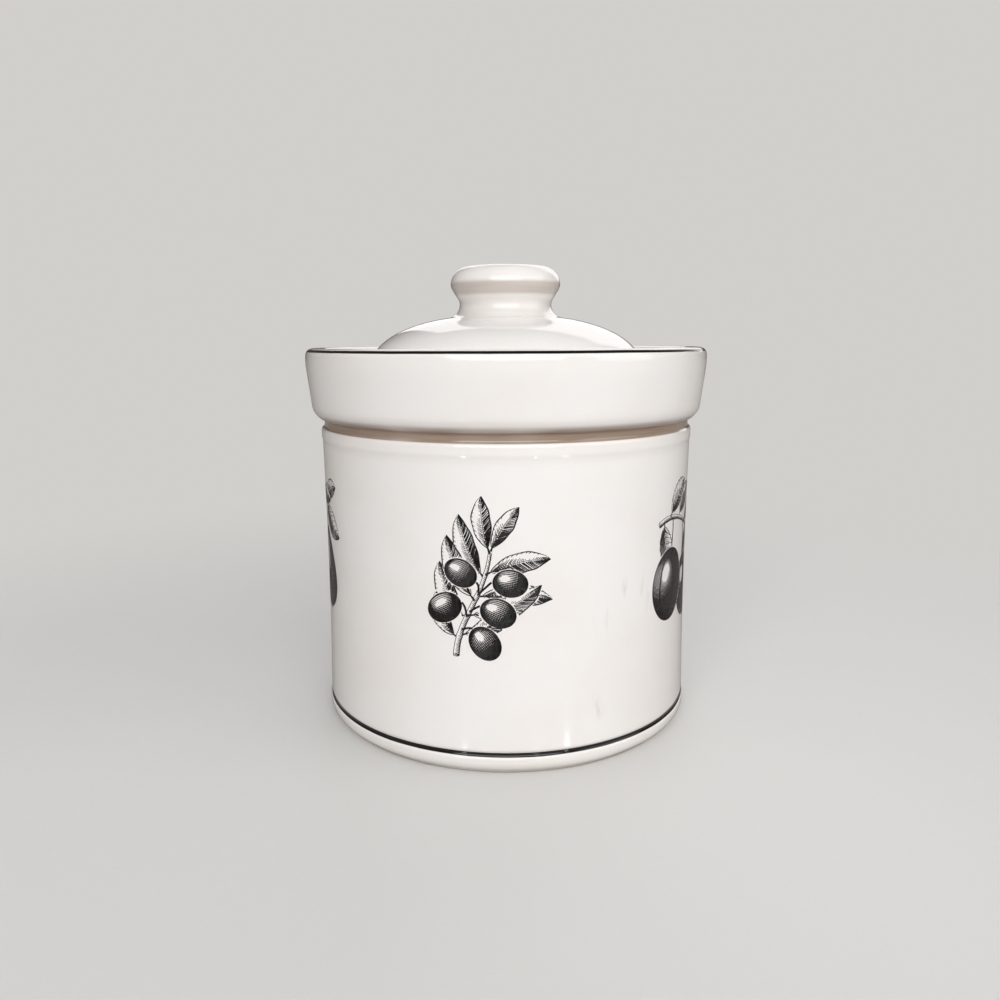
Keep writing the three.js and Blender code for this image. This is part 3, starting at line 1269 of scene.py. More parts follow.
@dataclass
class Lid:
    """The lid: a turned knob on a full dome, a flange on the ledge, and a spigot below."""

    seat: float
    top: float
    radius: float
    flange_thickness: float = 0.0055
    flange_width: float = 0.0133
    flange_top_fillet: float = 0.0022
    flange_bottom_fillet: float = 0.0011
    dome_height: float = 0.0236
    dome_wall: float = 0.0052
    dome_foot_fillet: float = 0.002
    dome_steps: int = 26
    dome_fullness: float = 2.35
    knob_radius: float = 0.02135
    knob_crown: float = 0.0004
    knob_top_inset: float = 0.0024
    knob_top_fillet: float = 0.0068
    knob_head_height: float = 0.0072
    knob_head_fillet: float = 0.0043
    knob_undercut: float = 0.0038
    knob_grip_height: float = 0.0132
    knob_grip_fillet: float = 0.003
    stem_fillet: float = 0.005
    stem_flare: float = 0.007
    knob_wall: float = 0.0065
    knob_hollow_fillet: float = 0.004
    spigot_inset: float = 0.0082
    spigot_depth: float = 0.012
    spigot_wall: float = 0.0052
    spigot_lip: float = 0.0011
    spigot_lip_height: float = 0.0018
    spigot_fillet: float = 0.0008
    spigot_throat_fillet: float = 0.003
    seal_shoulder: float = 0.001
    seal_groove_depth: float = 0.001
    bare_lip_height: float = 0.0008
    # How much pooled glaze, and the painted shade with it, darkens the lid's hollows.
    pool_share: float = 0.4
    # Painted shade under the knob's head.
    stain_rise: float = 0.0016
    stain_fade: float = 0.0018
    stain_strength: float = 0.5
    waver: float = 0.00009
    waver_seed: float = 5.3

    @classmethod
    def from_frame(cls) -> Lid:
        """Take the overall sizes from the frame's lid."""
        low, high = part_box("stoneware_lid")
        return cls(seat=low.z + cls.spigot_depth, top=high.z, radius=high.x)

    def dome_rise(self, radius: float, foot_radius: float, height: float) -> float:
        """Give a dome's height above its foot, fuller at the shoulder than an ellipse."""
        share = min(1.0, radius / foot_radius)
        return height * (1 - share**self.dome_fullness) ** (1 / self.dome_fullness)

    def dome(self, start: float, foot_radius: float, height: float, base: float) -> list[Corner]:
        """Draw a dome from a radius out to just above its foot.

        Args:
            start: The radius that it starts at.
            foot_radius: The radius of its foot.
            height: Its height above the foot on the axis.
            base: The height of the foot.

        Returns:
            Its corners from the inside out.
        """
        corners = []
        for i in range(self.dome_steps):
            eased = math.sin(math.pi / 2 * i / self.dome_steps)
            radius = start + (foot_radius - start) * eased
            corners.append(Corner(radius, base + self.dome_rise(radius, foot_radius, height)))
        return corners

    def outline(self) -> TurnedOutline:
        """Draw the whole lid, from inside the knob's hollow out to the knob's top.

        Returns:
            The outline.
        """
        seat = self.seat
        foot = seat + self.flange_thickness
        dome_radius = self.radius - self.flange_width
        inner_dome = dome_radius - self.dome_wall
        inner_height = self.dome_height - self.dome_wall
        stem = self.knob_radius - self.knob_undercut
        hollow = stem - self.knob_wall
        spigot = self.radius - self.spigot_inset
        groove = spigot - self.seal_groove_depth
        spigot_bottom = seat - self.spigot_depth
        lip_top = spigot_bottom + self.spigot_lip_height
        bore = spigot - self.spigot_wall
        outside = [
            Corner(0.0, self.top),
            Corner(self.knob_radius - self.knob_top_inset, self.top - self.knob_crown,
                   self.knob_top_fillet),
            Corner(self.knob_radius, self.top - self.knob_head_height, self.knob_head_fillet),
            Corner(stem, self.top - self.knob_grip_height, self.knob_grip_fillet),
            Corner(stem, foot + self.dome_rise(stem, dome_radius, self.dome_height), self.stem_fillet),
            *self.dome(stem + self.stem_flare, dome_radius, self.dome_height, foot),
            Corner(dome_radius, foot, self.dome_foot_fillet),
            Corner(self.radius, foot, self.flange_top_fillet),
            Corner(self.radius, seat, self.flange_bottom_fillet),
        ]
        under = [
            Corner(spigot, seat, self.spigot_fillet),
            Corner(spigot, seat - self.seal_shoulder),
            Corner(groove, seat - self.seal_shoulder),
            Corner(groove, lip_top),
            Corner(groove + self.spigot_lip, lip_top),
            Corner(groove + self.spigot_lip, spigot_bottom, self.spigot_fillet),
            Corner(bore, spigot_bottom, self.spigot_fillet),
            Corner(bore, seat, self.spigot_throat_fillet),
            Corner(inner_dome, foot, self.spigot_throat_fillet),
            *reversed(self.dome(hollow, inner_dome, inner_height, foot)),
            Corner(hollow, self.top - self.knob_wall, self.knob_hollow_fillet),
            Corner(0.0, self.top - self.knob_wall),
        ]
        return TurnedOutline(list(reversed(outside + under)))

    def finish(self) -> GlazeFinish:
        """Say where the lid is bare, on its lip, and where shade is painted, under the knob's head.

        Returns:
            Its glaze.
        """
        bottom = self.seat - self.spigot_depth
        bare = (BareBand(bottom - BAND_OVERRUN, bottom + self.bare_lip_height),)
        # Painted shade under the knob's head, from the grip up to the head, outside the hollow.
        low = self.top - self.knob_grip_height + self.knob_grip_fillet
        high = self.top - self.knob_head_height
        stem = self.knob_radius - self.knob_undercut
        stains = (ShadePlace(low, high, self.stain_rise, self.stain_fade, stem - self.knob_wall / 2,
                             self.stain_strength),)
        return GlazeFinish("white_glaze_lid", bare=bare, stains=stains, pool_share=self.pool_share)

    def build(self, ware: Ware, shop: Workshop) -> None:
        """Build the lid and let it stand for the frame's lid.

        Args:
            ware: The node trees.
            shop: The shader groups.
        """
        piece = ware.turn("glazed_lid", self.outline(), self.finish().build(shop), waver=self.waver,
                          seed=self.waver_seed)
        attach(piece, "lid")
        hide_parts("stoneware_lid")


@dataclass
class SealRing:
    """The soft ring in the spigot's groove, with two fins that lean up to the throat."""

    inner: float
    outer: float
    bottom: float
    top: float
    band: float = 0.0014
    fin_root: float = 0.0013
    fin_tip: float = 0.0007
    fin_lift: float = 0.0008
    fin_shares: Span = (0.28, 0.72)
    edge_fillet: float = 0.0003
    root_fillet: float = 0.0004
    segments: int = 192

    @classmethod
    def from_frame(cls) -> SealRing:
        """Take the ring's sizes from the frame's seal."""
        low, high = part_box("lid_seal_ring")
        radii = [math.hypot(v.co.x, v.co.y) for v in bpy.data.objects["lid_seal_ring"].data.vertices]
        return cls(inner=min(radii), outer=high.x, bottom=low.z, top=high.z)

    def fin(self, middle: float) -> list[Corner]:
        """Draw one fin from its lower root, out to its raised tip, and back.

        Args:
            middle: The height of the middle of its root.

        Returns:
            Its corners from the bottom up.
        """
        band = self.inner + self.band
        root, tip = self.fin_root / 2, self.fin_tip / 2
        return [
            Corner(band, middle - root, self.root_fillet),
            Corner(self.outer, middle + self.fin_lift - tip, self.edge_fillet),
            Corner(self.outer, middle + self.fin_lift + tip, self.edge_fillet),
            Corner(band, middle + root, self.root_fillet),
        ]

    def build(self, ware: Ware, finish: Material) -> None:
        """Build the ring and let it stand for the frame's seal.

        Args:
            ware: The node trees.
            finish: The silicone.
        """
        band = self.inner + self.band
        middles = [self.bottom + (self.top - self.bottom) * share for share in self.fin_shares]
        corners = [
            Corner(self.inner, self.bottom, self.edge_fillet),
            Corner(band, self.bottom, self.root_fillet),
            *(corner for middle in middles for corner in self.fin(middle)),
            Corner(band, self.top, self.root_fillet),
            Corner(self.inner, self.top, self.edge_fillet),
        ]
        outline = TurnedOutline(corners, Ends.JOINED, softening=0.00008, sample=0.00003, longest=0.0012,
                                shortest=0.00008, bend_step=math.radians(14))
        piece = ware.turn("soft_seal_ring", outline, finish, self.segments)
        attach(piece, "seal")
        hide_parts("lid_seal_ring")


def curve_at(points: list[Array], shares: Array) -> tuple[Array, Array]:
    """Walk along a Bezier curve.

    Args:
        points: Its control points.
        shares: Shares of the way along it, from 0 to 1.

    Returns:
        The places and the unit directions there.
    """
    s = np.asarray(shares, float)[:, None]
    n = len(points) - 1
    place = sum(math.comb(n, i) * (1 - s) ** (n - i) * s**i * points[i] for i in range(n + 1))
    slope = sum(n * math.comb(n - 1, i) * (1 - s) ** (n - 1 - i) * s**i * (points[i + 1] - points[i])
                for i in range(n))
    return place, slope / np.linalg.norm(slope, axis=1, keepdims=True)


def leftward(slope: Array) -> Array:
    """Turn directions a quarter to the left."""
    return np.stack([-slope[:, 1], slope[:, 0]], axis=1)


def facing(angle: float) -> Array:
    """Give the direction at an angle on the plate."""
    return np.array((math.cos(angle), math.sin(angle)))


@dataclass(frozen=True)
class Graver:
    """One kind of engraved line: its points, its half width, and the share left at its end."""

    points: int
    half: float
    end_share: float = 1.0

    def way(self, start: float, end: float) -> Array:
        """Give even steps from a start to an end, one for each point."""
        return np.linspace(start, end, self.points)

    def halves(self, more: float = 0.0) -> Array:
        """Give the half width at each point, of a line that starts wider by so much."""
        return (self.half + more) * np.linspace(1, self.end_share, self.points)


@dataclass
class Plate:
    """A flat plate that lines are cut into, from the front of the picture to its back."""

    chance: np.random.Generator
    thinnest: float = 0.05
    shortest: float = 0.45
    strokes: list[Array] = field(default_factory=list)
    masks: list[Array] = field(default_factory=list)

    def shake(self, reach: float) -> float:
        """Draw a small error of the engraver's hand, up to a reach either way."""
        return self.chance.uniform(-reach, reach)

    def cut(self, places: Array, halves: Array) -> None:
        """Cut a line where nothing in front hides it and where it isn't too thin.

        Args:
            places: Points on the plate, in millimetres.
            halves: The line's half width at each point.
        """
        shown = halves > self.thinnest
        for mask in self.masks:
            shown &= ~self.covered(places, mask)
        start = -1
        for i, seen in enumerate([*shown, False]):
            if seen and start < 0:
                start = i
            elif not seen and start >= 0:
                piece = np.column_stack((places[start:i], halves[start:i]))
                run = np.linalg.norm(np.diff(piece[:, :2], axis=0), axis=1).sum()
                if run > self.shortest:
                    self.strokes.append(piece)
                start = -1

    def hide_behind(self, outline: Array, halo: float) -> None:
        """Keep later lines out of an outline and out of a thin halo round it.

        Args:
            outline: Points round it, in order.
            halo: How far the halo reaches past it.
        """
        middle = outline.mean(axis=0)
        away = outline - middle
        reach = np.maximum(np.linalg.norm(away, axis=1, keepdims=True), TINY)
        self.masks.append(middle + away * (1 + halo / reach))

    @staticmethod
    def covered(places: Array, mask: Array) -> Array:
        """Find the places inside a closed outline by the sides that a level ray crosses.

        Args:
            places: The places.
            mask: Points round the outline, in order.

        Returns:
            True for each place inside it.
        """
        x, y = places[:, 0][:, None], places[:, 1][:, None]
        x0, y0 = mask[:, 0][None], mask[:, 1][None]
        x1, y1 = np.roll(mask[:, 0], -1)[None], np.roll(mask[:, 1], -1)[None]
        crosses = (y0 > y) != (y1 > y)
        rise = np.where(y1 == y0, 1.0, y1 - y0)
        return np.sum(crosses & (x < (x1 - x0) * (y - y0) / rise + x0), axis=1) % 2 == 1


class Layer(Enum):
    """Whether something lies before or behind the sprig's stem."""

    FRONT = "front"
    BACK = "back"


@dataclass(frozen=True)
class LeafPlan:
    """One leaf of the sprig: where it grows, which way it leans, and its size."""

    share: float
    side: int
    lean: float
    length: float
    width: float
    bend: float
    left: float
    right: float
    layer: Layer = Layer.BACK


@dataclass(frozen=True)
class FruitPlan:
    """One fruit of the sprig: where its stalk grows, its middle, heading and half sizes."""

    share: float
    middle: Span
    heading: float
    long: float
    short: float
    neck: float = 0.0
    tone: float = 1.0
    crease: float = 0.0
    is_crowned: bool = False


@dataclass
class Stem:
    """The sprig's woody stem, shaded on its right side."""

    plate: Plate
    points: list[Array]
    thick: float = 2.0
    thin: float = 1.0
    knots: tuple[float, ...] = (0.2, 0.42, 0.62, 0.83)
    knot: float = 0.16
    knot_spread: float = 0.018
    pitch: float = 0.62
    length: float = 42.0
    light_edge: Graver = Graver(60, 0.11)
    dark_edge: Graver = Graver(60, 0.19)
    hatch: Graver = Graver(4, 0.21, 0.3)
    hatch_across: Span = (-0.95, 0.25)
    hatch_shake: float = 0.3
    hatch_slant: float = 0.006
    cut_end: Graver = Graver(12, 0.13)
    cut_end_depth: float = 0.36
    halo: float = 0.2

    def half_width(self, shares: Array) -> Array:
        """Give the stem's half width, with its knots, at shares of the way along it."""
        swell = self.knot * sum(np.exp(-(((shares - k) / self.knot_spread) ** 2)) for k in self.knots)
        return 0.5 * (self.thick + (self.thin - self.thick) * shares) + swell

    def at(self, shares: Array, across: Array) -> Array:
        """Give places along the stem and across it, from -1 at its right to 1."""
        place, slope = curve_at(self.points, shares)
        return place + leftward(slope) * (across * self.half_width(shares))[:, None]

    def joint(self, share: float) -> tuple[Array, float]:
        """Give the place and the heading at a share of the stem."""
        place, slope = curve_at(self.points, np.array([share]))
        return place[0], math.atan2(slope[0][1], slope[0][0])

    def engrave(self) -> None:
        """Cut the stem's edges, its shading and its cut end, and keep later lines behind it."""
        shares = self.light_edge.way(0, 1)
        left, right = self.at(shares, np.ones_like(shares)), self.at(shares, -np.ones_like(shares))
        self.plate.cut(left, self.light_edge.halves())
        self.plate.cut(right, self.dark_edge.halves())
        start, end = self.hatch_across
        for share in np.arange(0.0, 1.0, self.pitch / self.length):
            across = self.hatch.way(start, end + self.plate.shake(self.hatch_shake))
            slanting = np.clip(share + self.hatch_slant * across, 0, 1)
            self.plate.cut(self.at(slanting, across), self.hatch.halves())
        turn = self.cut_end.way(0, math.tau)
        place, slope = curve_at(self.points, np.zeros(1))
        wide = np.cos(turn)[:, None] * leftward(slope)[0] * self.thick / 2
        deep = np.sin(turn)[:, None] * slope[0] * self.cut_end_depth
        self.plate.cut(place[0] + wide + deep, self.cut_end.halves())
        self.plate.hide_behind(np.vstack((left, right[::-1])), self.halo)


@dataclass(frozen=True)
class LeafHatching:
    """The lines that shade a leaf, by shares of its length and of the way out to its edge."""

    ends: Span = (0.015, 0.985)
    shake: float = 0.22
    slant: float = 0.16
    full_slant_width: float = 6.0
    curl: float = 1.2
    last: float = 0.995
    start: float = 0.10
    furthest: float = 0.97
    dark: Graver = Graver(5, 0.255, 0.55)
    dark_reach: Span = (0.90, 0.99)
    dark_wave: float = 0.05
    dark_wave_start: float = 0.1
    dark_shake: float = 0.02
    light: Graver = Graver(5, 0.19, 0.16)
    light_reach: float = 0.82
    light_shares: Span = (0.85, 1.1)
    gloss_at: float = 0.55
    gloss_spread: float = 0.20
    gloss_reach: float = -0.50
    gloss_half: float = -0.07
    edge: Graver = Graver(4, 0.14, 0.2)
    edge_reach: Span = (0.15, 0.34)
    along: Graver = Graver(12, 0.12, 0.2)
    along_levels: Span = (0.26, 0.84)
    along_pitch: float = 1.1
    along_fewest: int = 4
    along_start: Span = (0.04, 0.09)
    along_end: float = 0.42
    along_end_rise: float = 0.35
    along_end_shake: float = 0.06


@dataclass(frozen=True)
class LeafStyle:
    """How a plant's leaves are drawn: their edge, their veins and the pitch of their lines."""

    petiole: float = 2.0
    pitch: float = 0.66
    halo: float = 0.28
    tooth: float = 0.04
    teeth: float = 9.0
    tooth_drift: float = 5.0
    veins: int = 0
    fullness: float = 0.86
    bluntness: float = 0.88
    dark_side: int = -1
    spine_shares: tuple[Span, ...] = ((0.0, 0.0), (0.42, 0.0), (0.78, 0.55), (1.0, 0.8))
    edge: Graver = Graver(40, 0.13)
    dark_swell: float = 0.14
    light_swell: float = 0.05
    tremble: float = 0.03
    trembles: float = 11.0
    tip_thinning: float = 0.6
    tip_sharpness: int = 6
    rib: Graver = Graver(24, 0.17, 0.321)
    rib_end: float = 0.97
    stalk: Graver = Graver(6, 0.432, 2 / 3)
    vein: Graver = Graver(9, 0.125, 0.5)
    vein_first: float = 0.08
    vein_spread: float = 0.74
    vein_reach: float = 0.93
    vein_slant: float = 0.15
    vein_curl: float = 1.25
    hatching: LeafHatching = LeafHatching()


@dataclass
class LeafHalf:
    """One half of a leaf, on side 1 to the left of its midrib or -1 to the right."""

    plate: Plate
    spine: list[Array]
    side: int
    width: float
    length: float
    heading: float
    style: LeafStyle

    @property
    def is_dark(self) -> bool:
        """Say whether it is the darker half."""
        return self.side == self.style.dark_side

    def at(self, shares: Array, across: Array | float) -> Array:
        """Find places on the half.

        Args:
            shares: Shares of the way along the midrib.
            across: Shares of the way from the midrib to the toothed edge.

        Returns:
            The places.
        """
        style = self.style
        turn = 2 * style.teeth * shares + self.side + self.heading * style.tooth_drift
        body = np.sin(np.pi * np.clip(shares, 0, 1) ** style.fullness) ** style.bluntness
        half = 0.5 * self.width * body * (1 + style.tooth * np.sin(turn))
        place, slope = curve_at(self.spine, shares)
        return place + leftward(slope) * (self.side * across * half)[:, None]

    def edge(self) -> Array:
        """Give the half's edge from root to tip."""
        return self.at(self.style.edge.way(0, 1), 1.0)

    def engrave_edge(self) -> None:
        """Cut the half's edge, heavier on the dark side."""
        style = self.style
        shares = style.edge.way(0, 1)
        swell = style.dark_swell if self.is_dark else style.light_swell
        tremble = style.tremble * np.sin(style.trembles * shares + self.side)
        half = style.edge.halves() + swell * np.sin(np.pi * shares) + tremble
        self.plate.cut(self.edge(), half * (1 - style.tip_thinning * shares**style.tip_sharpness))

    def engrave_veins(self) -> None:
        """Cut the half's side veins, where the style has any."""
        style = self.style
        across = style.vein.way(0, style.vein_reach)
        for i in range(style.veins):
            start = style.vein_first + style.vein_spread * i / style.veins
            shares = np.clip(start + style.vein_slant * across**style.vein_curl, 0, 1)
            self.plate.cut(self.at(shares, across), style.vein.halves())

    def engrave_slanting(self, base: float, across: Array, halves: Array) -> None:
        """Cut a line that slants out to the edge.

        Args:
            base: The share of the midrib that it starts from.
            across: Shares of the way out to the edge.
            halves: The half width at each.
        """
        look = self.style.hatching
        slant = look.slant * min(1.0, self.width / look.full_slant_width)
        self.plate.cut(self.at(np.clip(base + slant * across**look.curl, 0, look.last), across), halves)

    def shade(self) -> None:
        """Cut the half's slanting lines, and more at a light edge or along a dark half."""
        look, plate = self.style.hatching, self.plate
        pitch = self.style.pitch / self.length
        for i, start in enumerate(np.arange(*look.ends, pitch)):
            base = start + plate.shake(look.shake) * pitch
            if self.is_dark:
                reach = plate.chance.uniform(*look.dark_reach)
                wave = look.dark_wave * math.cos(math.tau * (base - look.dark_wave_start))
                graver, more = look.dark, wave + plate.shake(look.dark_shake)
            else:
                gloss = math.exp(-(((base - look.gloss_at) / look.gloss_spread) ** 2))
                reach = look.light_reach + look.gloss_reach * gloss
                reach *= plate.chance.uniform(*look.light_shares)
                graver, more = look.light, look.gloss_half * gloss
            across = graver.way(look.start, min(reach, look.furthest))
            self.engrave_slanting(base, across, graver.halves(more))
            if not self.is_dark and i % 2 == 0:
                inwards = plate.chance.uniform(*look.edge_reach)
                across = look.edge.way(look.furthest, look.furthest - inwards)
                self.engrave_slanting(base, across, look.edge.halves())
        if self.is_dark:
            self.shade_along()

    def shade_along(self) -> None:
        """Cut lines along the half, from its root to past its middle."""
        look, plate = self.style.hatching, self.plate
        count = max(look.along_fewest, round(self.width / look.along_pitch))
        for level in np.linspace(*look.along_levels, count):
            end = look.along_end + look.along_end_rise * level + plate.shake(look.along_end_shake)
            shares = look.along.way(plate.chance.uniform(*look.along_start), end)
            plate.cut(self.at(shares, level), look.along.halves())


@dataclass
class Leaf:
    """A pointed leaf with a dark and a light half on either side of its midrib."""

    plate: Plate
    root: Array
    heading: float
    plan: LeafPlan
    style: LeafStyle

    def spine(self) -> list[Array]:
        """Give the control points of the midrib.

        Returns:
            The points from the end of the petiole to the tip.
        """
        bend = -self.plan.side * self.plan.bend
        start = self.root + self.style.petiole * facing(self.heading)
        return [start + share * self.plan.length * facing(self.heading + turned * bend)
                for share, turned in self.style.spine_shares]

    def engrave(self) -> None:
        """Cut the leaf's edges, midrib, petiole and shading, and keep later lines behind it."""
        plan, style, spine = self.plan, self.style, self.spine()
        halves = [LeafHalf(self.plate, spine, side, plan.width * share, plan.length, self.heading, style)
                  for side, share in ((1, plan.left), (-1, plan.right))]
        for half in halves:
            half.engrave_edge()
        rib = style.rib.way(0, style.rib_end)
        self.plate.cut(curve_at(spine, rib)[0], style.rib.halves())
        stalk = self.root + (spine[0] - self.root) * style.stalk.way(0, 1)[:, None]
        self.plate.cut(stalk, style.stalk.halves())
        for half in halves:
            half.engrave_veins()
            half.shade()
        left, right = (half.edge() for half in halves)
        self.plate.hide_behind(np.vstack((left, right[::-1])), style.halo)


@dataclass
class Fruit:
    """A plump fruit, shaded by lines from tip to stalk and rings where it is darkest."""

    plate: Plate
    plan: FruitPlan
    stalk_from: Array
    light: Place = (-0.45, 0.62, 0.64)
    lit_fall: float = 0.64
    gloss_fall: float = 1.4
    gloss_sharpness: int = 12
    bounce: Place = (0.5, -0.75, 0.1)
    bounce_fall: float = 0.30
    darkest: float = 1.16
    rim: Graver = Graver(33, 0.15)
    rim_swell: float = 0.13
    rim_shade: Span = (0.5, -0.8)
    crease: Graver = Graver(26, 0.34)
    crease_inset: float = 0.12
    crease_bluntness: float = 0.4
    line_pitch: float = 0.60
    line_half: float = 0.305
    line_inset: float = 0.10
    line_steps: float = 2.2
    line_fewest: int = 24
    line_swell: float = 2.2
    line_thinnest: float = 0.3
    line_shake: float = 0.10
    line_shakes: float = 0.9
    line_shake_spread: float = 7.0
    ring: Graver = Graver(26, 0.22)
    ring_pitch: float = 0.72
    ring_darkness: float = 0.52
    ring_gain: float = 1.7
    crown: Graver = Graver(4, 0.30, 0.35)
    crown_leans: tuple[float, ...] = (-0.9, -0.45, 0.0, 0.45, 0.9)
    crown_foot_share: float = 0.97
    crown_size: Span = (1.5, 1.7)
    stalk: Graver = Graver(24, 0.36)
    stalk_arch: float = 0.5
    halo: float = 0.32

    def axes(self) -> tuple[Array, Array]:
        """Give the directions along the fruit, towards its tip, and across it."""
        along = facing(math.radians(self.plan.heading))
        return along, np.array((-along[1], along[0]))

    def girth(self, tilt: Array) -> Array:
        """Give the fruit's radius at angles from its tip to its stalk."""
        return self.plan.short * np.sin(tilt) * (1 + self.plan.neck * np.cos(tilt))

    def at(self, tilt: Array, turn: Array | float) -> Array:
        """Give places on the fruit at angles from its tip and round its long axis."""
        x, y = self.plan.long * np.cos(tilt), self.girth(tilt) * np.sin(turn)
        return np.array(self.plan.middle) + np.column_stack((x, y)) @ np.array(self.axes())

    def darkness(self, tilt: Array, turn: Array | float) -> Array:
        """Work out how dark the fruit is, from the way that its skin faces.

        Args:
            tilt: Angles from its tip.
            turn: Angles round its long axis.

        Returns:
            The darkness, from 0 in the gloss to 1.
        """
        along, across = self.axes()
        neck, short = self.plan.neck, self.plan.short
        ahead = short * (np.cos(tilt) * (1 + neck * np.cos(tilt)) - neck * np.sin(tilt) ** 2)
        aside = self.plan.long * np.sin(tilt)
        flat = ahead[:, None] * along + (aside * np.sin(turn))[:, None] * across
        out = np.column_stack((flat, aside * np.cos(turn)))
        out /= np.maximum(np.linalg.norm(out, axis=1, keepdims=True), TINY)
        light = np.array(self.light) / np.linalg.norm(self.light)
        lit = np.clip(out @ light, 0, 1)
        gloss = np.clip(2 * (out @ light) * out[:, 2] - light[2], 0, 1) ** self.gloss_sharpness
        back = self.bounce_fall * np.clip(out @ np.array(self.bounce), 0, 1) ** 2
        dark = self.darkest - self.lit_fall * lit - self.gloss_fall * gloss - back
        return self.plan.tone * np.clip(dark, 0.0, 1.0)

    def engrave(self) -> None:
        """Cut the fruit's rim, crease, crown and shading, and keep later lines behind it."""
        rim = np.vstack((self.at(self.rim.way(0, math.pi), math.pi / 2),
                         self.at(self.rim.way(math.pi, 0), -math.pi / 2)[1:]))
        shade = np.clip((rim - np.array(self.plan.middle)) @ np.array(self.rim_shade), 0, None)
        self.plate.cut(rim, self.rim.half + self.rim_swell * np.clip(shade / self.plan.long, 0, 1))
        if self.plan.crease:
            tilt = self.crease.way(self.crease_inset, math.pi - self.crease_inset)
            halves = self.crease.halves() * np.sin(tilt) ** self.crease_bluntness
            self.plate.cut(self.at(tilt, self.plan.crease), halves)
        if self.plan.is_crowned:
            self.engrave_crown()
        self.engrave_lines()
        self.engrave_rings()
        self.plate.hide_behind(rim[:-1], self.halo)

    def engrave_lines(self) -> None:
        """Cut the lines from tip to stalk, wider where the fruit is darker."""
        steps = max(self.line_fewest, round(self.line_steps * self.plan.long / self.line_pitch))
        tilt = np.linspace(self.line_inset, math.pi - self.line_inset, steps)
        swell = np.clip(np.sin(tilt) * self.line_swell, self.line_thinnest, 1)
        lines = int(2 * self.plan.short / self.line_pitch)
        for i in range(lines):
            turn = math.asin(-1 + (2 * i + 1) / lines)
            waves = steps * self.line_shakes * tilt + self.line_shake_spread * self.plate.chance.random()
            shake = 1 + self.line_shake * np.sin(waves)
            self.plate.cut(self.at(tilt, turn), self.line_half * self.darkness(tilt, turn) * swell * shake)

    def engrave_rings(self) -> None:
        """Cut the rings across the lines, where the fruit is darkest."""
        rings = int(2 * self.plan.long / self.ring_pitch)
        turn = self.ring.way(-math.pi / 2, math.pi / 2)
        for i in range(rings):
            tilt = np.full_like(turn, math.acos(1 - (2 * i + 1) / rings))
            tone = np.clip(self.darkness(tilt, turn) - self.ring_darkness, 0, 1) * self.ring_gain
            self.plate.cut(self.at(tilt, turn), self.ring.half * tone)

    def engrave_crown(self) -> None:
        """Cut the dried flower's short points at the fruit's tip."""
        along, across = self.axes()
        tip = np.array(self.plan.middle) + self.plan.long * along * self.crown_foot_share
        tall, wide = self.crown_size
        for lean in self.crown_leans:
            point = tall * math.cos(lean) * along + wide * math.sin(lean) * across
            self.plate.cut(tip + self.crown.way(0, 1)[:, None] * point, self.crown.halves())

    def engrave_stalk(self) -> None:
        """Cut the stalk that the fruit hangs by."""
        along, _ = self.axes()
        end = np.array(self.plan.middle) - self.plan.long * along
        way = self.stalk.way(0, 1)[:, None]
        arch = self.stalk_arch * np.sin(np.pi * way)
        self.plate.cut(self.stalk_from + (end - self.stalk_from) * way + arch, self.stalk.halves())


@dataclass(frozen=True)
class SprigPlate:
    """A generic fruiting sprig in the manner of an old engraving, drawn by rule."""

    stem: tuple[Span, ...]
    leaves: tuple[LeafPlan, ...]
    fruits: tuple[FruitPlan, ...]
    style: LeafStyle = LeafStyle()
    seed: int = 3

    def engrave(self) -> list[Array]:
        """Cut the whole sprig, front to back.

        Returns:
            Its lines, centred on the plate.
        """
        plate = Plate(np.random.default_rng(self.seed))
        stem = Stem(plate, [np.array(p) for p in self.stem])
        fruits = [Fruit(plate, plan, stem.joint(plan.share)[0]) for plan in self.fruits]
        for fruit in fruits:
            fruit.engrave()
        for fruit in fruits:
            fruit.engrave_stalk()
        for layer in Layer:
            for plan in self.leaves:
                if plan.layer is layer:
                    self.grow(stem, plan).engrave()
            if layer is Layer.FRONT:
                stem.engrave()
        every = np.vstack(plate.strokes)[:, :2]
        middle = (every.min(axis=0) + every.max(axis=0)) / 2
        return [stroke - np.array((*middle, 0.0)) for stroke in plate.strokes]

    def grow(self, stem: Stem, plan: LeafPlan) -> Leaf:
        """Set a planned leaf on the stem."""
        place, heading = stem.joint(plan.share)
        return Leaf(stem.plate, place, heading + plan.side * math.radians(plan.lean), plan, self.style)


OLIVE_SPRIG = SprigPlate(
    stem=((-8.5, -25.5), (-8.0, -13.0), (1.0, -6.0), (3.0, 9.5)),
    leaves=(
        LeafPlan(0.16, 1, 62, 15.5, 6.4, 0.55, 1.0, 0.75),
        LeafPlan(0.20, -1, 58, 22.0, 7.4, 0.50, 0.8, 1.0),
        LeafPlan(0.38, 1, 66, 19.0, 7.2, 0.40, 1.0, 0.8),
        LeafPlan(0.42, -1, 58, 24.5, 7.8, 0.38, 0.8, 1.0, Layer.FRONT),
        LeafPlan(0.58, 1, 62, 21.5, 7.6, 0.32, 1.0, 0.85, Layer.FRONT),
        LeafPlan(0.62, -1, 56, 23.0, 7.8, -0.28, 0.9, 1.0),
        LeafPlan(0.80, 1, 54, 20.5, 7.2, 0.34, 1.0, 0.85),
        LeafPlan(0.83, -1, 46, 20.0, 7.2, -0.34, 0.85, 1.0, Layer.FRONT),
        LeafPlan(0.995, 1, 26, 17.0, 6.6, 0.25, 1.0, 0.85, Layer.FRONT),
        LeafPlan(0.995, -1, 14, 16.0, 6.0, -0.25, 0.85, 1.0),
    ),
    fruits=(
        FruitPlan(0.26, (1.2, -21.0), -52.0, 6.1, 4.8),
        FruitPlan(0.46, (5.6, -10.6), -24.0, 6.0, 4.7),
        FruitPlan(0.40, (-12.4, -9.4), 208.0, 6.1, 4.8),
        FruitPlan(0.64, (9.6, -0.6), -8.0, 5.7, 4.5),
        FruitPlan(0.66, (-6.8, 2.6), 152.0, 5.6, 4.4),
    ),
)

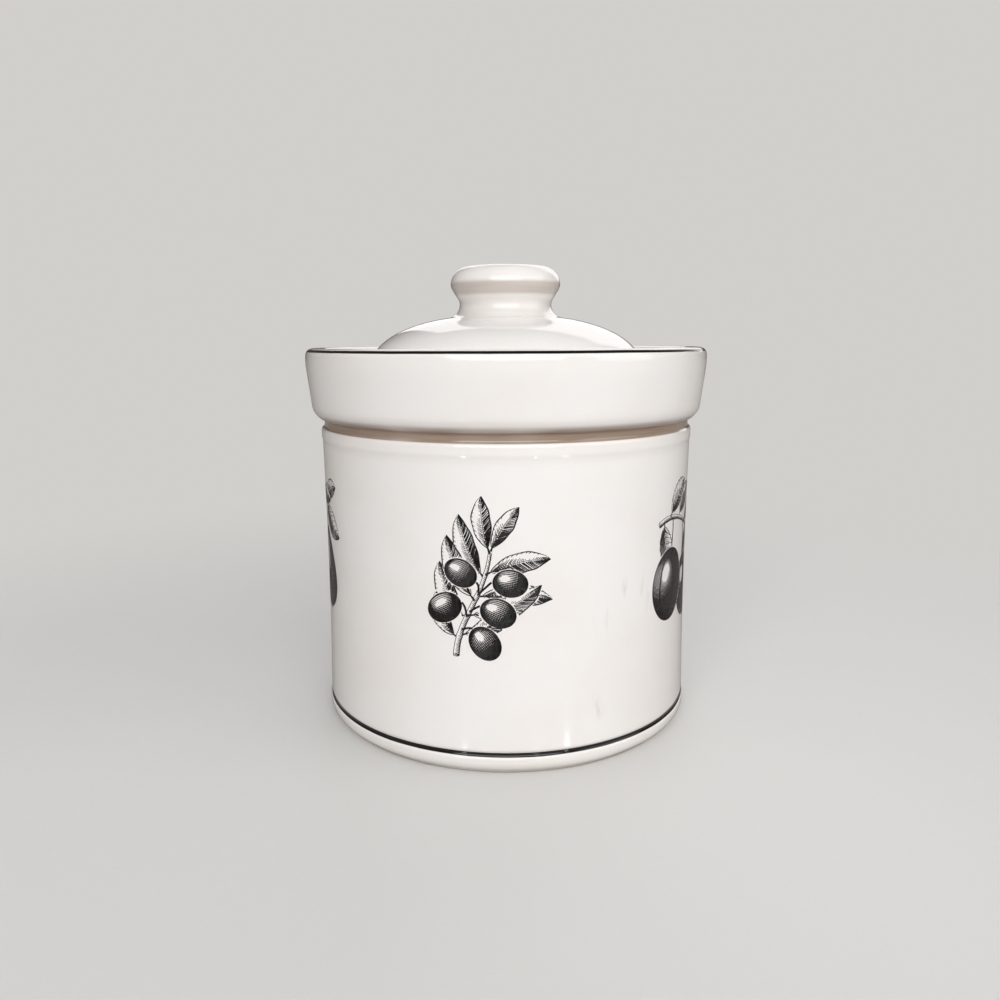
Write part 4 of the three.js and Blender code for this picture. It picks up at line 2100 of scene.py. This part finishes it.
PLUM_SPRIG = SprigPlate(
    stem=((-17.0, 19.0), (-8.0, 22.5), (3.0, 19.0), (15.0, 13.0)),
    leaves=(
        LeafPlan(0.12, -1, 95, 17.0, 9.5, 0.45, 0.9, 1.0),
        LeafPlan(0.28, 1, 52, 17.5, 9.0, 0.35, 1.0, 0.85, Layer.FRONT),
        LeafPlan(0.55, 1, 62, 16.0, 8.5, 0.30, 1.0, 0.85),
        LeafPlan(0.80, 1, 44, 15.0, 8.0, 0.25, 1.0, 0.85, Layer.FRONT),
        LeafPlan(0.995, -1, 30, 19.0, 9.5, 0.45, 0.85, 1.0),
        LeafPlan(0.90, -1, 72, 20.0, 9.5, 0.35, 0.9, 1.0),
    ),
    fruits=(
        FruitPlan(0.36, (-8.6, -4.0), -97.0, 13.2, 12.0, crease=-0.62),
        FruitPlan(0.72, (10.0, -8.5), -82.0, 12.2, 11.0, crease=0.70),
    ),
    style=LeafStyle(tooth=0.05, teeth=26.0, veins=6, fullness=0.80),
    seed=11,
)

PEAR_SPRIG = SprigPlate(
    stem=((-9.0, 25.0), (-4.0, 21.5), (2.0, 20.0), (9.0, 22.0)),
    leaves=(
        LeafPlan(0.10, -1, 88, 17.0, 9.0, 0.40, 0.9, 1.0),
        LeafPlan(0.45, 1, 28, 16.0, 8.0, 0.35, 1.0, 0.85, Layer.FRONT),
        LeafPlan(0.98, -1, 64, 19.0, 9.5, 0.30, 0.9, 1.0, Layer.FRONT),
        LeafPlan(0.99, 1, 18, 14.0, 7.5, 0.30, 1.0, 0.85),
    ),
    fruits=(
        FruitPlan(0.34, (-7.0, -5.5), -101.0, 17.0, 10.6, neck=0.36, tone=0.82, is_crowned=True),
        FruitPlan(0.80, (9.5, -4.0), -80.0, 15.5, 9.8, neck=0.36, tone=0.88, is_crowned=True),
    ),
    style=LeafStyle(tooth=0.04, teeth=22.0, veins=6, fullness=0.80),
    seed=7,
)


@dataclass
class SprigPrints:
    """The five black sprigs that are printed round the jar's wall."""

    wall_radius: float
    first_angle: float = math.radians(-5.0)
    middle_height: float = 0.0685
    proud: float = 0.00003
    plates: tuple[SprigPlate, ...] = (OLIVE_SPRIG, PLUM_SPRIG, PEAR_SPRIG, PLUM_SPRIG, PEAR_SPRIG)
    tilts: tuple[float, ...] = (0.0, 0.012, -0.016, 0.01, -0.008)

    def build(self, ware: Ware, jar: Piece, finish: Material) -> None:
        """Lay every print on the jar.

        Args:
            ware: The node trees.
            jar: The jar whose wall they lie on.
            finish: The ink.
        """
        spacing = math.tau / len(self.plates)
        for i, (plate, tilt) in enumerate(zip(self.plates, self.tilts)):
            values = {
                "Wall": jar, "Wrap Radius": self.wall_radius, "Angle": self.first_angle + i * spacing,
                "Lift": self.middle_height, "Tilt": tilt, "Proud": self.proud, "Finish": finish,
            }
            piece = ware.lay(f"sprig_print_{i + 1}", plate.engrave(), values)
            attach(piece, "jar")


@dataclass
class PhotoCamera:
    """A camera at the viewing angle of the reference picture."""

    place: Place = (-0.0024, -0.3325, 0.1445)
    pitch: float = math.radians(10.76)
    roll: float = math.radians(-0.23)
    lens: float = 30.35
    sensor: float = 36.0
    nearest: float = 0.01

    def build(self) -> None:
        """Make the camera and give it to the scene."""
        data = bpy.data.cameras.new("photo_camera")
        data.lens = self.lens
        data.sensor_width = self.sensor
        data.clip_start = self.nearest
        camera = new_object("photo_camera", data)
        tilt = Matrix.Rotation(math.pi / 2 - self.pitch, 4, "X") @ Matrix.Rotation(self.roll, 4, "Z")
        camera.matrix_world = Matrix.Translation(self.place) @ tilt
        bpy.context.scene.camera = camera


@dataclass(frozen=True)
class SoftLamp:
    """A rectangular softbox: where it hangs, its size, its power and its colour."""

    name: str
    place: Place
    size: Span
    power: float
    colour: Place = (1.0, 1.0, 1.0)

    def mirrored(self) -> SoftLamp:
        """Give the lamp's image in a polished worktop."""
        x, y, z = self.place
        return replace(self, name=f"{self.name}_in_worktop", place=(x, y, -z))

    def build(self, target: Vector) -> None:
        """Make the lamp and turn it to its target.

        Args:
            target: What it looks at.
        """
        data = bpy.data.lights.new(self.name, "AREA")
        data.shape = "RECTANGLE"
        data.size, data.size_y = self.size
        data.energy = self.power
        data.color = self.colour
        lamp = new_object(self.name, data)
        lamp.location = self.place
        lamp.rotation_euler = (target - Vector(self.place)).to_track_quat("-Z", "Y").to_euler()


@dataclass(frozen=True)
class Glow:
    """Light that comes from all round: one colour at the horizon and one overhead."""

    horizon: Colour
    overhead: Colour
    low: float = 0.05
    high: float = 0.85

    def colour(self, wire: Wiring) -> Socket:
        """Give the colour for the direction that a ray leaves in."""
        level = wire.height_of(wire.add("ShaderNodeTexCoord").outputs["Generated"])
        return wire.mix(wire.remap(level, self.low, self.high), self.horizon, self.overhead)


@dataclass
class Studio:
    """A pale floor that fades into a pale backdrop, with soft lamps round the canister.

    Light that bounces off the floor, and what the glaze mirrors, is that of a dim worktop
    and a dim room, which the eye doesn't see directly.
    """

    backdrop: Colour = paint(209, 207, 204)
    floor: Colour = paint(226, 225, 223)
    worktop: Colour = (0.60, 0.57, 0.54, 1.0)
    ambient: Glow = Glow((0.25, 0.246, 0.24, 1.0), (0.46, 0.46, 0.46, 1.0))
    mirrored: Glow = Glow((0.085, 0.068, 0.058, 1.0), (0.12, 0.118, 0.115, 1.0))
    floor_reach: float = 6.0
    floor_roughness: float = 0.6
    floor_clearness: float = 0.5
    fade_from: float = 0.10
    fade_to: float = 0.48
    target: Place = (0.0, 0.0, 0.07)
    lamps: tuple[SoftLamp, ...] = (
        SoftLamp("key_lamp", (0.0, -1.75, 0.9), (2.2, 1.4), 28.5),
        SoftLamp("right_fill", (1.45, -0.65, 0.7), (1.2, 1.2), 6.0, (1.0, 0.99, 0.98)),
        SoftLamp("left_fill", (-1.45, -0.65, 0.7), (1.2, 1.2), 0.8, (1.0, 0.99, 0.98)),
        SoftLamp("back_fill", (0.4, 1.8, 1.1), (2.0, 1.4), 10.0),
    )
    sparks: tuple[SoftLamp, ...] = (
        SoftLamp("left_spark", (-0.718, -1.472, 0.761), (0.05, 0.04), 0.7),
        SoftLamp("middle_spark", (0.495, -1.547, 0.796), (0.045, 0.035), 0.45),
        SoftLamp("right_spark", (0.971, -1.33, 0.734), (0.05, 0.04), 0.6),
    )

    def build(self) -> None:
        """Make the floor, the world and the lamps."""
        bpy.context.scene.view_settings.view_transform = "Standard"
        self.build_floor()
        self.build_world()
        target = Vector(self.target)
        for lamp in self.lamps:
            lamp.build(target)
        for spark in self.sparks:
            spark.build(target)
            spark.mirrored().build(target)

    def build_floor(self) -> None:
        """Make the floor, pale to the eye, dim and thin to bounced light, clear from below."""
        mesh = bpy.data.meshes.new("studio_floor")
        r = self.floor_reach
        mesh.from_pydata([(-r, -r, 0), (r, -r, 0), (r, r, 0), (-r, r, 0)], [], [(0, 1, 2, 3)])
        floor = new_object("studio_floor", mesh)
        material, wire, shader = new_material("studio_paper")
        shader.inputs["Base Color"].default_value = self.floor
        shader.inputs["Roughness"].default_value = self.floor_roughness
        far = wire.remap(wire.vector("LENGTH", wire.surface_place()), self.fade_from, self.fade_to)
        glow = wire.add("ShaderNodeEmission", {"Color": self.backdrop, "Strength": 1.0})
        pale = wire.add("ShaderNodeMixShader", {0: far, 1: shader, 2: glow})
        clear = wire.add("ShaderNodeBsdfTransparent")
        dim = wire.add("ShaderNodeBsdfDiffuse", {"Color": self.worktop})
        thin = wire.add("ShaderNodeMixShader", {0: self.floor_clearness, 1: dim, 2: clear})
        seen = wire.add("ShaderNodeLightPath").outputs["Is Camera Ray"]
        above = wire.add("ShaderNodeMixShader", {0: seen, 1: thin, 2: pale})
        below = wire.add("ShaderNodeNewGeometry").outputs["Backfacing"]
        both = wire.add("ShaderNodeMixShader", {0: below, 1: above, 2: clear})
        wire.feed(material.node_tree.nodes["Material Output"].inputs["Surface"], both)
        mesh.materials.append(material)

    def build_world(self) -> None:
        """Make the world: soft light all round, a dim room in the gloss, a plain backdrop."""
        world = bpy.data.worlds.new("studio_world")
        bpy.context.scene.world = world
        world.use_nodes = True
        wire = Wiring(world.node_tree)
        path = wire.add("ShaderNodeLightPath")
        colour = wire.mix(path.outputs["Is Glossy Ray"], self.ambient.colour(wire),
                          self.mirrored.colour(wire))
        colour = wire.mix(path.outputs["Is Camera Ray"], colour, self.backdrop)
        wire.feed(world.node_tree.nodes["Background"].inputs["Color"], colour)


def main() -> None:
    """Build the canister's looks round its frame."""
    logging.basicConfig(level=logging.INFO, format="%(name)s %(message)s")
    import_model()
    PhotoCamera().build()
    Studio().build()
    shop = Workshop()
    ware = Ware()
    jar = Jar.from_frame()
    jar_piece = jar.build(ware, shop)
    Lid.from_frame().build(ware, shop)
    SealRing.from_frame().build(ware, SiliconeFinish().build())
    SprigPrints(jar.body_radius).build(ware, jar_piece, InkFinish().build())


if __name__ == "__main__":
    main()
